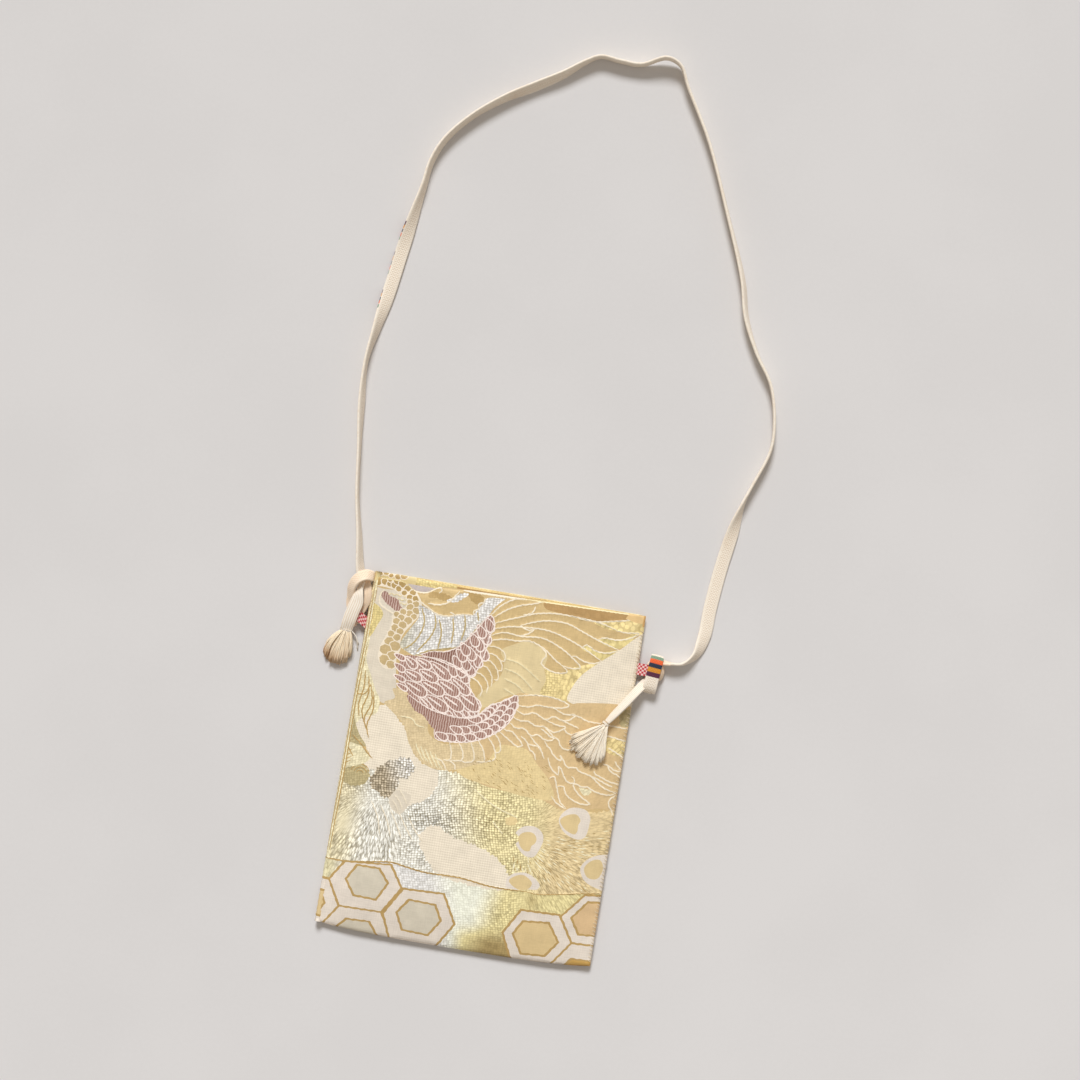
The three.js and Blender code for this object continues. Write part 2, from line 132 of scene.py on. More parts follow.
RIGHT_STRAND_ROUTE = [
    (138.6, 111.9, 5.9, 0.02, -0.1, 1, 9.6), (133.6, 111.8, 5.7, 0.02, -0.25, 0.97, 8.6),
    (129.6, 111.7, 5, 0, -0.6, 0.8, 6), (125.6, 111.4, 4.9, -0.3, -1, 0, 4),
    (121.7, 109, 5, -0.9, -0.3, 0, 4), (121.6, 103.5, 5, -1, 0, 0, 4), (122, 98.4, 5, -0.9, 0.4, 0, 4),
    (125.6, 95.6, 4.8, -0.3, 1, 0, 4),
]
RIGHT_TURN_ROUTE = [
    (123, 96.4, 4.9, 0.3, -1, 0, 4), (127.5, 95.6, 4.8, -0.2, -1, 0, 4),
    (131, 98, 5, -0.6, -0.4, 0.6, 5.4), (132.6, 103, 5.4, -0.5, 0, 0.86, 6),
    (131.4, 108, 5.4, -0.6, 0.3, 0.6, 5.4), (128.4, 112.6, 4, -0.4, 1, 0, 4),
]
RIGHT_COLLAR_ROUTE = [
    (127.2, 113, 3, 1, -0.09, 0, 10.6), (127, 116.2, 6.4, 1, -0.09, 0, 10.6),
    (126.6, 113, 9.8, 1, -0.09, 0, 10.8), (125.9, 106, 10.6, 1, -0.09, 0, 11),
    (125.2, 98, 10.6, 1, -0.09, 0, 11), (124.5, 90, 9.6, 1, -0.09, 0, 11.4),
    (124.2, 86.6, 6.2, 1, -0.09, 0, 11.2), (124.4, 89.6, 3, 1, -0.09, 0, 10),
]
RIGHT_TAIL_ROUTE = [
    (122.4, 96.4, 4, -0.7, 0.5, -0.4, 6), (119.4, 92.2, 6, -0.66, 0.5, -0.5, 7.4),
    (113.4, 84, 11.6, -0.58, 0.44, -0.68, 8), (106.8, 74.4, 13.8, -0.58, 0.44, -0.68, 7.6),
    (99.4, 64, 15, -0.6, 0.44, -0.66, 6.6), (94.6, 57, 15.3, -0.75, 0.5, -0.4, 4.4),
]


def rgb(code):
    """Linear colour of a hex code."""
    parts = [int(code[i:i + 2], 16) / 255 for i in (1, 3, 5)]
    return np.array([p / 12.92 if p <= 0.04045 else ((p + 0.055) / 1.055) ** 2.4 for p in parts])


def smoothstep(low, high, value):
    t = np.clip((value - low) / (high - low), 0, 1)
    return t * t * (3 - 2 * t)


def unit(vectors):
    return vectors / np.linalg.norm(vectors, axis=-1, keepdims=True)


def spline(points, step, closed=False):
    """Smooth line through the points, sampled about every step. Columns after the third follow along."""
    p = np.asarray(points, float)
    if closed:
        p = np.concatenate([p[-1:], p, p[:2]])
    else:
        p = np.concatenate([2 * p[:1] - p[1:2], p, 2 * p[-1:] - p[-2:-1]])
    gaps = np.sqrt(np.maximum(np.linalg.norm(np.diff(p[:, :3], axis=0), axis=1), 1e-6))
    line = []
    for i in range(1, len(p) - 2):
        before, a, b, after = p[i - 1:i + 3]
        d0, d1, d2 = gaps[i - 1:i + 2]
        leave = ((a - before) / d0 - (b - before) / (d0 + d1) + (b - a) / d1) * d1
        reach = ((b - a) / d1 - (after - a) / (d1 + d2) + (after - b) / d2) * d1
        count = max(1, math.ceil(np.linalg.norm((b - a)[:3]) / step))
        t = np.arange(count)[:, None] / count
        line.append(a + leave * t + (3 * (b - a) - 2 * leave - reach) * t ** 2
                    + (2 * (a - b) + leave + reach) * t ** 3)
    if not closed:
        line.append(p[-2:-1])
    return np.concatenate(line)


# Camera and light, with the places of the lamps in metres
PHOTO_TURN = math.radians(9.5)  # how far the view is turned against the bag
CAMERA_OVER = (16.4, 194.2)
CAMERA_HEIGHT = 1800
VIEW_WIDTH = 885.6
SENSOR_WIDTH = 36
LIT_POINT = (0.02, 0.15, 0)
KEY_PLACE = (-2.0, 9.1, 8.6)
KEY_STRENGTH = 2.68
KEY_ANGLE = 0.32
KEY_COLOR = (0.97, 1.0, 1.04)
FILL_PLACE = (0.9, -0.9, 1.9)
FILL_POWER = 2
FILL_SIZE = 1.6
ROOM_COLOR = (1.0, 0.92, 0.83, 1)
ROOM_STRENGTH = 0.36
FLOOR_REACH = 30.0


def add_camera():
    data = bpy.data.cameras.new("camera")
    data.sensor_width = SENSOR_WIDTH
    data.lens = SENSOR_WIDTH * CAMERA_HEIGHT / VIEW_WIDTH
    camera = bpy.data.objects.new("camera", data)
    camera.location = Vector((*CAMERA_OVER, CAMERA_HEIGHT)) * MM
    camera.rotation_euler = (0, 0, PHOTO_TURN)
    bpy.context.scene.collection.objects.link(camera)
    bpy.context.scene.camera = camera


def add_lamp(name, kind, place, energy):
    """A lamp that shines on the bag."""
    data = bpy.data.lights.new(name, kind)
    data.energy = energy
    lamp = bpy.data.objects.new(name, data)
    lamp.location = place
    lamp.rotation_euler = (Vector(LIT_POINT) - Vector(place)).to_track_quat("-Z", "Y").to_euler()
    bpy.context.scene.collection.objects.link(lamp)
    return data


def add_light():
    """A broad key light from far off behind the bag, a weak fill and an even, warm room."""
    key = add_lamp("key", "SUN", KEY_PLACE, KEY_STRENGTH)
    key.color = KEY_COLOR
    key.angle = KEY_ANGLE
    fill = add_lamp("fill", "AREA", FILL_PLACE, FILL_POWER)
    fill.shape = "DISK"
    fill.size = FILL_SIZE
    world = bpy.data.worlds.new("studio")
    world.use_nodes = True
    background = world.node_tree.nodes["Background"]
    background.inputs["Color"].default_value = ROOM_COLOR
    background.inputs["Strength"].default_value = ROOM_STRENGTH
    bpy.context.scene.world = world
    bpy.context.scene.view_settings.view_transform = "Standard"


class Shader:
    """A material's node tree, built up by short calls."""

    def __init__(self, name):
        self.material = bpy.data.materials.new(name)
        self.material.use_nodes = True
        self.tree = self.material.node_tree
        self.bsdf = self.tree.nodes["Principled BSDF"]

    def feed(self, socket, value):
        if isinstance(value, bpy.types.NodeSocket):
            self.tree.links.new(value, socket)
        elif hasattr(value, "__len__") and socket.type == "RGBA":
            socket.default_value = (*value[:3], 1)
        else:
            socket.default_value = value

    def node(self, kind, inputs=None, **settings):
        node = self.tree.nodes.new("ShaderNode" + kind)
        for key, value in settings.items():
            setattr(node, key, value)
        for key, value in (inputs or {}).items():
            self.feed(node.inputs[key], value)
        return node

    def math(self, operation, a, b=0.0, c=0.0):
        return self.node("Math", {0: a, 1: b, 2: c}, operation=operation).outputs[0]

    def add(self, first, *others):
        for value in others:
            first = self.math("ADD", first, value)
        return first

    def times(self, first, *others):
        for value in others:
            first = self.math("MULTIPLY", first, value)
        return first

    def less(self, a, b):
        return self.math("SUBTRACT", a, b)

    def about_zero(self, noise, share):
        """A noise moved to lie about zero, times a share."""
        return self.times(self.less(noise, 0.5), share)

    def split(self, vector):
        return self.node("SeparateXYZ", {0: vector}).outputs

    def ramp(self, value, low, high, to_low=0.0, to_high=1.0):
        inputs = {0: value, 1: low, 2: high, 3: to_low, 4: to_high}
        return self.node("MapRange", inputs, interpolation_type="SMOOTHSTEP").outputs[0]

    def mix(self, factor, a, b, blend="MIX"):
        node = self.node("Mix", data_type="RGBA", blend_type=blend)
        self.feed(node.inputs["Factor"], factor)
        self.feed(node.inputs[6], a)
        self.feed(node.inputs[7], b)
        return node.outputs[2]

    def attribute(self, name):
        return self.node("Attribute", attribute_name=name)

    def place(self, scale):
        """Object coordinates, in turns per millimetre."""
        where = self.node("TexCoord").outputs["Object"]
        return self.node("Mapping", {"Vector": where, "Scale": [s / MM for s in scale]}).outputs[0]

    def noise(self, scale, detail=2.0):
        inputs = {"Vector": self.place(scale), "Scale": 1.0, "Detail": detail}
        return self.node("TexNoise", inputs).outputs[0]

    def shine(self, **constants):
        for key, value in constants.items():
            self.bsdf.inputs[key.replace("_", " ").title()].default_value = value

    def surface(self, color, roughness):
        self.feed(self.bsdf.inputs["Base Color"], color)
        self.feed(self.bsdf.inputs["Roughness"], roughness)
        return self.material

    def bump(self, height, strength, depth, **normal):
        inputs = {"Height": height, "Strength": strength, "Distance": depth * MM, **normal}
        self.feed(self.bsdf.inputs["Normal"], self.node("Bump", inputs).outputs[0])


# Brocade: sizes of its weaves, and how much each thread changes shade and height
STRIPE_PITCH = 2.0              # of the pale stripes in the mauve feathers
STRIPE_COLOR = rgb("#DDC4B7")
STRIPE_SHADE = 0.8
TWILL_TURN = 1.6                # radians per millimetre of the dotted twill
DOT_SIZE = (2.2, 1.9)           # woven dots of the metal mist, along and across its rows
DOT_SCATTER = 0.4
STROKE_SIZE = (4.6, 1.0)        # its strokes
STROKE_SCATTER = 0.95
FACET_LEAN = 0.9                # how far its threads lean out of the cloth's face
FLECK_MIDDLE = 0.36
FLECK_SHADE = 0.6
GAP_SHADE = 0.9
GAP_TINT = (0.3, 0.26, 0.18)
GAP_DEPTH = 1.2
MOTTLE_SHADE = 0.3
WARP_SHADE, WARP_HEIGHT = 0.15, 0.5
WEFT_SHADE, WEFT_HEIGHT = 0.22, 0.7
TWILL_SHADE, TWILL_HEIGHT = 0.1, 0.5
FOIL_METAL = 0.26
FOIL_GLOSS = 0.12


def woven_cells(s, place, size, scatter):
    """How far a point is from the middle of its woven cell, and a chance colour for each cell."""
    scale = (1 / size[0], 1 / size[1], 1.0)
    where = s.node("Mapping", {"Vector": s.attribute(place).outputs["Vector"], "Scale": scale}).outputs[0]
    inputs = {"Vector": where, "Scale": 1.0, "Randomness": scatter}
    cell = s.node("TexVoronoi", inputs, voronoi_dimensions="2D")
    return cell.outputs["Distance"], cell.outputs["Color"]


def metal_mist(s, crackle):
    """Dots and strokes of metal thread: the gaps between them, their flecks, and the way they face."""
    swept = s.split(s.attribute("sweep").outputs["Vector"])[2]
    from_dot, dot_color = woven_cells(s, "grain", DOT_SIZE, DOT_SCATTER)
    from_stroke, stroke_color = woven_cells(s, "sweep", STROKE_SIZE, STROKE_SCATTER)
    dot_gap = s.ramp(from_dot, 0.27, 0.54)
    stroke_gap = s.ramp(from_stroke, 0.3, 0.6)
    gap = s.math("MULTIPLY_ADD", swept, s.less(stroke_gap, dot_gap), dot_gap)
    flecks = s.mix(swept, dot_color, stroke_color)
    fleck = s.less(s.node("SeparateColor", {0: flecks}).outputs[0], FLECK_MIDDLE)
    lean = s.node("VectorMath", {0: flecks, 1: (0.5, 0.5, 0.5)}, operation="SUBTRACT").outputs[0]
    reach = s.times(crackle, FACET_LEAN)
    lean = s.node("VectorMath", {0: lean, "Scale": reach}, operation="SCALE").outputs[0]
    facet = s.node("VectorMath", {0: s.node("NewGeometry").outputs["Normal"], 1: lean}).outputs[0]
    facet = s.node("VectorMath", {0: facet}, operation="NORMALIZE").outputs[0]
    return s.times(gap, crackle), s.times(fleck, crackle), facet


def silk_ground(s, dots, lines):
    """Warp and weft threads, the dotted twill, and the stripes of the mauve feathers."""
    warp = s.noise((1.3, 0.09, 1.3))
    weft = s.noise((0.1, 2.0, 2.0))
    x, y, _ = s.split(s.place((1, 1, 1)))
    twill = s.times(s.math("SINE", s.times(s.add(x, y), TWILL_TURN)),
                    s.math("SINE", s.times(s.less(x, y), TWILL_TURN)))
    stray = s.times(s.noise((0.3, 0.3, 0.3)), 6.0)
    stripe = s.math("SINE", s.add(s.times(x, 2 * math.pi / STRIPE_PITCH), stray))
    striped = s.ramp(s.add(stripe, s.times(weft, 1.5)), 0.4, 1.6)
    return warp, weft, s.times(twill, dots), s.times(striped, lines)


def brocade_material():
    """Silk ground with metal threads. The mesh says what each field is woven from."""
    s = Shader("brocade")
    thread = s.attribute("thread_color").outputs["Color"]
    weave = s.attribute("weave")
    foil, crackle, dots = s.node("SeparateColor", {0: weave.outputs["Color"]}).outputs
    gap, fleck, facet = metal_mist(s, crackle)
    warp, weft, dotted, striped = silk_ground(s, dots, weave.outputs["Alpha"])
    mottle = s.noise((0.09, 0.09, 0.09), 4.0)

    light = s.add(1.0, s.about_zero(mottle, MOTTLE_SHADE), s.about_zero(warp, WARP_SHADE),
                  s.about_zero(weft, WEFT_SHADE), s.times(dotted, TWILL_SHADE), s.times(fleck,
                                                                                        FLECK_SHADE))
    lit = s.node("CombineXYZ", {0: light, 1: light, 2: light}).outputs[0]
    color = s.mix(1.0, thread, lit, "MULTIPLY")
    color = s.mix(s.times(gap, GAP_SHADE), color, s.mix(1.0, thread, GAP_TINT, "MULTIPLY"))
    color = s.mix(s.times(striped, STRIPE_SHADE), color, STRIPE_COLOR)

    height = s.add(s.times(weft, WEFT_HEIGHT), s.times(warp, WARP_HEIGHT), s.times(dotted, TWILL_HEIGHT))
    s.bump(s.less(height, s.times(gap, GAP_DEPTH)), 0.5, 0.25, Normal=facet)
    s.feed(s.bsdf.inputs["Metallic"], s.times(foil, FOIL_METAL))
    s.shine(sheen_weight=0.1, sheen_roughness=0.4)
    return s.surface(color, s.add(s.times(foil, -FOIL_GLOSS), s.ramp(weft, 0.2, 0.8, 0.56, 0.68)))


def lining_material():
    s = Shader("lining_cloth")
    weave = s.add(s.noise((0.2, 2.5, 1.0)), s.noise((2.5, 0.2, 1.0)))
    color = s.mix(s.ramp(weave, 0.7, 1.3), rgb("#CDBF9F"), rgb("#E9DFC8"))
    s.bump(weave, 0.4, 0.15)
    s.shine(sheen_weight=0.1)
    return s.surface(color, s.ramp(weave, 0.7, 1.3, 0.7, 0.85))


def braid_height(s, across, along, kind):
    """Bobbles along the middle of a bricked cord, or ribs along a ribbed one, from -1 to 1."""
    rows = s.math("SINE", s.times(along, 2 * math.pi / RIB_PITCH))
    columns = s.math("COSINE", s.times(across, math.pi * RIB_COLUMNS / CORD_WIDTH))
    middle = s.ramp(s.math("ABSOLUTE", across), 3.2, 4.2, 1.0, 0.0)
    is_brick = s.ramp(s.math("ABSOLUTE", s.less(kind, BRICKED)), 0.2, 0.5, 1.0, 0.0)
    ribs = s.math("COSINE", s.times(across, 2 * math.pi * LENGTHWISE_RIBS / CORD_WIDTH))
    return s.add(s.times(rows, columns, middle, is_brick), s.times(ribs, s.ramp(kind, 1.4, 1.8)))


def cord_material():
    """Braided silk, its grooves darkened as painted shade. The mesh gives its colour, its place across
    and along the cord, and the braid.
    """
    s = Shader("woven_cord")
    fibre_and_groove_shade, soiled = rgb("#D9BC97"), rgb("#E3C6A2")
    across, along, kind = s.split(s.attribute("braid").outputs["Vector"])
    place = s.node("CombineXYZ", {0: s.times(across, 3.0), 1: s.times(along, 0.35)}).outputs[0]
    fibre = s.node("TexNoise", {"Vector": place, "Scale": 1.0, "Detail": 3.0}).outputs[0]
    soil = s.noise((0.025, 0.025, 0.025), 3.0)
    braid = braid_height(s, across, along, kind)

    color = s.attribute("thread_color").outputs["Color"]
    color = s.mix(s.times(s.ramp(fibre, 0.4, 0.7), 0.22), color, fibre_and_groove_shade, "MULTIPLY")
    color = s.mix(s.times(s.ramp(soil, 0.55, 0.8), 0.2), color, soiled, "MULTIPLY")
    # Painted shade: the braid's grooves are darkened
    color = s.mix(s.times(s.ramp(braid, 0.0, -0.8), 0.5), color, fibre_and_groove_shade, "MULTIPLY")
    s.bump(s.add(fibre, s.times(braid, 0.8)), 0.4, 0.25)
    s.shine(sheen_weight=0.2, sheen_roughness=0.45)
    return s.surface(color, s.ramp(fibre, 0.3, 0.7, 0.6, 0.8))


def tape_material():
    s = Shader("checked_tape")
    thread = s.attribute("thread_color").outputs["Color"]
    weave = s.noise((2.2, 2.2, 2.2))
    color = s.mix(s.times(s.ramp(weave, 0.4, 0.7), 0.3), thread, rgb("#E7A9A4"), "MULTIPLY")
    s.bump(weave, 0.4, 0.2)
    return s.surface(color, s.ramp(weave, 0.3, 0.7, 0.7, 0.88))


def floor_material():
    s = Shader("pale_floor")
    cloud = s.noise((0.006, 0.006, 0.006), 5.0)
    grit = s.noise((0.3, 0.3, 0.3))
    shade = s.add(cloud, s.times(grit, 0.25))
    s.bsdf.inputs["Specular IOR Level"].default_value = 0
    return s.surface(s.mix(s.ramp(shade, 0.45, 0.8), rgb("#DCD9D7"), rgb("#DFDCDA")), 0.9)


def add_floor():
    mesh = bpy.data.meshes.new("floor")
    corners = [(x * FLOOR_REACH, y * FLOOR_REACH, 0) for x, y in ((-1, -1), (1, -1), (1, 1), (-1, 1))]
    mesh.from_pydata(corners, [], [(0, 1, 2, 3)])
    mesh.materials.append(floor_material())
    floor = bpy.data.objects.new("floor", mesh)
    bpy.context.scene.collection.objects.link(floor)


def add_mesh(name, points, faces, material, smooth=True):
    """Makes a piece from points in millimetres."""
    mesh = bpy.data.meshes.new(name)
    mesh.from_pydata((np.asarray(points) * MM).tolist(), [], faces)
    mesh.materials.append(material)
    mesh.polygons.foreach_set("use_smooth", [smooth] * len(mesh.polygons))
    mesh.update()
    piece = bpy.data.objects.new(name, mesh)
    bpy.context.scene.collection.objects.link(piece)
    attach(piece, "root")
    return piece


def set_attribute(piece, name, kind, domain, values):
    field = {"FLOAT_COLOR": "color", "FLOAT_VECTOR": "vector", "FLOAT": "value"}[kind]
    attribute = piece.data.attributes.new(name, kind, domain)
    attribute.data.foreach_set(field, np.asarray(values, np.float32).ravel())


def with_alpha(colors):
    return np.concatenate([colors, np.ones((len(colors), 1))], axis=1)


def round_quads(index):
    """Faces between the rows of grids of point numbers whose columns run round."""
    step = np.roll(index, -1, axis=-1)
    corners = (index[..., :-1, :], step[..., :-1, :], step[..., 1:, :], index[..., 1:, :])
    return np.stack(corners, -1).reshape(-1, 4)


def stand_for(node):
    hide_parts(node)


# Cords
CREAM = rgb("#FAEFDE")
# The tails' paler cream is painted light: they lie higher, in the light
TAIL_LIT_CREAM = rgb("#FFF7E9")
# The knots' warmer, peachier cream is painted shade, warmed by light thrown back among them
KNOT_SHADE_CREAM = rgb("#FDE8CE")
# The loose threads' whiter cream is painted light, as they catch the light
STRAY_LIT_CREAM = rgb("#FFF8EC")
STRIPES = [rgb(code) for code in ("#5A2140", "#DE9429", "#1F2E45", "#F0662A", "#7F9B82")]
ORANGE = STRIPES[3]
PLAIN, BRICKED, RIBBED = 0, 1, 2
RIB_HEIGHT = 0.16
BRAID_THICKNESS = CORD_THICKNESS - 0.3      # under the ribs
SECTION_SIDES = 24
RING_STEP = 0.5
DASHES = [(432.6, 416.2), (406.8, 387.3), (374.4, 358.2)]     # stripes under the strap, from y to y
DASHES_LEFT_OF = -100
COLLAR_EDGES = [99.3, 103.1, 106.9, 110, 113.4, 115.4]      # y where the right collar's stripes meet
COLLAR_TOP = 6
TAIL_STRIPE = (99, 107)         # y where an orange stripe shows on the left tail's edge


def section_ring():
    """Points round a flat cord's section: across and through, each from -1 to 1."""
    angle = np.linspace(0, 2 * math.pi, SECTION_SIDES, endpoint=False) + math.pi / SECTION_SIDES
    across = np.sign(np.cos(angle)) * np.abs(np.cos(angle)) ** 0.45
    through = np.sign(np.sin(angle)) * np.abs(np.sin(angle)) ** 0.6
    return across, through


def cord_length(centres):
    return np.concatenate([[0], np.cumsum(np.linalg.norm(np.diff(centres, axis=0), axis=1))])


def rib_relief(kind, along, across):
    """Height of the braid: bobbles in brick order along the middle, or ribs along the cord."""
    if kind == BRICKED:
        rows = np.sin(2 * math.pi * along / RIB_PITCH)
        columns = np.cos(math.pi * across * RIB_COLUMNS / 2)
        return RIB_HEIGHT * rows * columns * smoothstep(0.78, 0.6, np.abs(across))
    return RIB_HEIGHT * np.cos(math.pi * across * LENGTHWISE_RIBS) * (kind == RIBBED)


def ribbon(name, centres, across_way, widths, thickness, kind, paint, material):
    """A flat cord along ring centres, closed at both ends."""
    tangents = unit(np.gradient(centres, axis=0))
    sideways = unit(across_way - tangents * np.sum(across_way * tangents, axis=1, keepdims=True))
    upward = np.cross(tangents, sideways)
    shape = (len(centres), SECTION_SIDES)
    along = np.broadcast_to(cord_length(centres)[:, None], shape)
    side, face = (np.broadcast_to(ring, shape) for ring in section_ring())
    reach = side * np.reshape(widths, (-1, 1)) / 2
    lift = face * thickness / 2 + np.sign(face) * rib_relief(kind, along, side) * np.abs(face) ** 0.5
    points = centres[:, None] + sideways[:, None] * reach[..., None] + upward[:, None] * lift[..., None]
    index = np.arange(lift.size).reshape(shape)
    caps = [index[0, ::-1].tolist(), index[-1].tolist()]
    piece = add_mesh(name, points.reshape(-1, 3), round_quads(index).tolist() + caps, material)
    colors = paint(side, face, np.broadcast_to(centres[:, None], points.shape))
    set_attribute(piece, "thread_color", "FLOAT_COLOR", "POINT", with_alpha(colors.reshape(-1, 3)))
    place = np.stack([side * CORD_WIDTH / 2, along, np.full(shape, kind)], -1)
    set_attribute(piece, "braid", "FLOAT_VECTOR", "POINT", place)
    return piece


def filled(color, centres):
    return np.broadcast_to(color, centres.shape).copy()


def even(color):
    """Paints a cord in one colour."""
    return lambda across, through, centres: filled(color, centres)


def strap_paint(across, through, centres):
    """Cream, with stripes underneath that show where the strap turns over."""
    colors = filled(CREAM, centres)
    hidden = (across > 0.93) | ((through < -0.2) & (across > -0.8))
    for start, end in DASHES:
        share = (start - centres[..., 1]) / (start - end)
        for i, stripe in enumerate(STRIPES):
            inside = (share >= i / len(STRIPES)) & (share < (i + 0.9) / len(STRIPES))
            colors[inside & hidden & (centres[..., 0] < DASHES_LEFT_OF)] = stripe
    return colors


def collar_paint(across, through, centres):
    """Cream, with the stripes outwards."""
    colors = filled(CREAM, centres)
    on_top = centres[..., 2] > COLLAR_TOP
    for stripe, low, high in zip(STRIPES, COLLAR_EDGES, COLLAR_EDGES[1:]):
        colors[(centres[..., 1] >= low) & (centres[..., 1] < high) & on_top] = stripe
    return colors


def tail_paint(across, through, centres):
    """Plain, in a paler cream that paints the light on the tails, with an orange stripe peeping round the
    lower edge.
    """
    colors = filled(TAIL_LIT_CREAM, centres)
    low, high = TAIL_STRIPE
    colors[(across > 0.8) & (through < 0.4) & (centres[..., 1] < high) & (centres[..., 1] > low)] = ORANGE
    return colors


def leaning_route():
    """Ring centres of the strap and the way across it at each."""
    stations = []
    for x, y, lean, lift in STRAP_ROUTE:
        turn = math.radians(lean)
        half = (CORD_WIDTH * abs(math.sin(turn)) + CORD_THICKNESS * abs(math.cos(turn))) / 2
        stations.append((x, y, half + lift + CORD_CLEARANCE, turn))
    line = spline(stations, RING_STEP)
    centres, turn = line[:, :3], line[:, 3:]
    side = unit(np.cross(UP, unit(np.gradient(centres, axis=0))))
    return centres, side * np.cos(turn) + UP * np.sin(turn)


def add_strap(material):
    centres, across = leaning_route()
    piece = ribbon("strap_cord", centres, across, CORD_WIDTH, BRAID_THICKNESS, BRICKED, strap_paint,
                   material)
    stand_for("strap")
    return piece, centres


def turned_cord(name, node, stations, kind, paint, material):
    """A cord along stations that give its middle, the way across it and its width."""
    line = spline(stations, RING_STEP)
    piece = ribbon(name, line[:, :3], line[:, 3:6], line[:, 6], BRAID_THICKNESS, kind, paint, material)
    stand_for(node)
    return piece


def add_hitches(material):
    # Painted shade: the knots' cords take a warmer cream than the strap
    knot = even(KNOT_SHADE_CREAM)
    cords = [("left_strand", "left_knot", LEFT_STRAND_ROUTE, RIBBED, knot),
             ("left_collar", "left_knot", LEFT_COLLAR_ROUTE, BRICKED, knot),
             ("left_tail_cord", "left_tail", LEFT_TAIL_ROUTE, RIBBED, tail_paint),
             ("right_strand", "right_knot", RIGHT_STRAND_ROUTE, PLAIN, knot),
             ("right_turn", "right_knot", RIGHT_TURN_ROUTE, RIBBED, knot),
             ("right_collar", "right_knot", RIGHT_COLLAR_ROUTE, BRICKED, collar_paint),
             ("right_tail_cord", "right_tail", RIGHT_TAIL_ROUTE, RIBBED, even(TAIL_LIT_CREAM))]
    return [turned_cord(*cord, material) for cord in cords]


# Tassels
THREAD_SIDES = 5
THREAD_STEPS = 9
CORE_THICKNESS = 3.0
END_SPREAD = 0.7                # how far the threads of a clump part
ROOT_SPREAD = 0.5
CURL = 0.4
BINDING_TURNS = 3
BINDING_REACH = 0.9
BINDING_RADIUS = 0.36
STRAY_RADIUS = 0.5
# The right tassel's tan core is painted shade, showing dark in the gaps between its clumps
BROWN, HONEY, PALE, TAN_CORE_SHADE = (rgb(code) for code in ("#C48C46", "#FFEED0", "#FFF5E2", "#C4A87E"))
LEFT_RIM = [(-142.4, 76.5, 0.7), (-140.4, 70.6, 0.7), (-132, 67.2, 0.7), (-125, 69, 0.7),
            (-121.4, 75, 0.7)]
RIGHT_RIM = [(67.4, 42, 12.9), (68, 33.4, 12.9), (74, 26.4, 12.9), (83, 22.4, 12.9), (91, 22, 12.9),
             (97.6, 27, 12.6)]
LEFT_STRAYS = [[(-123.6, 96, 6), (-118.6, 91, 5), (-116.4, 81, 1)],
               [(-124.6, 96, 6), (-120.4, 93, 4), (-116.4, 86, 1)]]


def thread_tubes(name, lines, radii, colors, material):
    """Fine round threads along lines with equally many points. One radius or colour may serve all."""
    lines = np.asarray(lines)
    threads, steps = lines.shape[:2]
    tangents = unit(np.gradient(lines, axis=1))
    side = unit(np.cross(tangents, UP + 0.01))
    up = np.cross(side, tangents)
    angle = np.linspace(0, 2 * math.pi, THREAD_SIDES, endpoint=False)
    circle = side[:, :, None] * np.cos(angle)[:, None] + up[:, :, None] * np.sin(angle)[:, None]
    points = lines[:, :, None] + circle * np.reshape(radii, (-1, 1, 1, 1))
    index = np.arange(threads * steps * THREAD_SIDES).reshape(threads, steps, THREAD_SIDES)
    caps = np.concatenate([index[:, 0, ::-1], index[:, -1]])
    piece = add_mesh(name, points.reshape(-1, 3), round_quads(index).tolist() + caps.tolist(), material)
    shades = np.repeat(np.broadcast_to(colors, lines.shape)[:, :, None], THREAD_SIDES, axis=2)
    set_attribute(piece, "thread_color", "FLOAT_COLOR", "POINT", with_alpha(shades.reshape(-1, 3)))
    place = np.zeros((threads, steps * THREAD_SIDES, 3))
    place[..., 0] = np.arange(threads)[:, None] * 1.7
    place[..., 1] = np.repeat(np.arange(steps) * 3.0, THREAD_SIDES)
    set_attribute(piece, "braid", "FLOAT_VECTOR", "POINT", place.reshape(-1, 3))
    return piece


def tassel(name, neck, rim, tint, material, seed, rise, breadth, clumps, threads, fineness, bulge=0.0):
    """Loose threads that fan out from a cord's end, in clumps that part towards their ends."""
    chance = random.Random(seed)
    neck = np.array(neck)
    rim = spline(rim, 0.5)
    t = np.linspace(0, 1, THREAD_STEPS)[:, None]
    lines, radii, colors = [], [], []
    for clump in range(clumps):
        share = (clump + chance.uniform(0.1, 0.9)) / clumps
        base = rim[int(share * (len(rim) - 1))]
        base = neck + (base - neck) * chance.uniform(0.86, 1.03)
        layer = chance.random()
        for _ in range(threads):
            end = base + np.array([chance.gauss(0, END_SPREAD), chance.gauss(0, END_SPREAD),
                                   rise * layer * chance.uniform(0.7, 1.1)])
            root = (share - 0.5) * breadth + chance.gauss(0, ROOT_SPREAD)
            start = neck + np.array([root, 0.1 * root, chance.gauss(0, 0.6) + (layer - 0.5)])
            arch = UP * (0.5 + 1.6 * layer) + np.array([bulge * (share - 0.65), 0, 0])
            wave = np.array([chance.gauss(0, CURL), chance.gauss(0, CURL), chance.gauss(0, CURL / 2)])
            lines.append(start + (end - start) * t ** 0.95 + arch * np.sin(math.pi * t) ** 0.8
                         + wave * np.sin(2 * math.pi * t) * t)
            radii.append(fineness * chance.uniform(0.8, 1.2))
            colors.append(chance.uniform(0.9, 1.05) * tint(t, share))
    return thread_tubes(name, lines, radii, colors, material)


def tassel_core(name, neck, end, widths, color, material):
    """The inner threads of a tassel, as one flat bundle."""
    neck, end = np.array(neck), np.array(end)
    centres = spline([neck, 0.5 * (neck + end), end], 0.8)
    across = np.cross(unit(centres[-1] - centres[0]), UP)
    breadth = np.interp(np.linspace(0, 1, len(centres)), [0, 0.4, 1], widths)
    return ribbon(name, centres, across, breadth, CORE_THICKNESS, RIBBED, even(color), material)


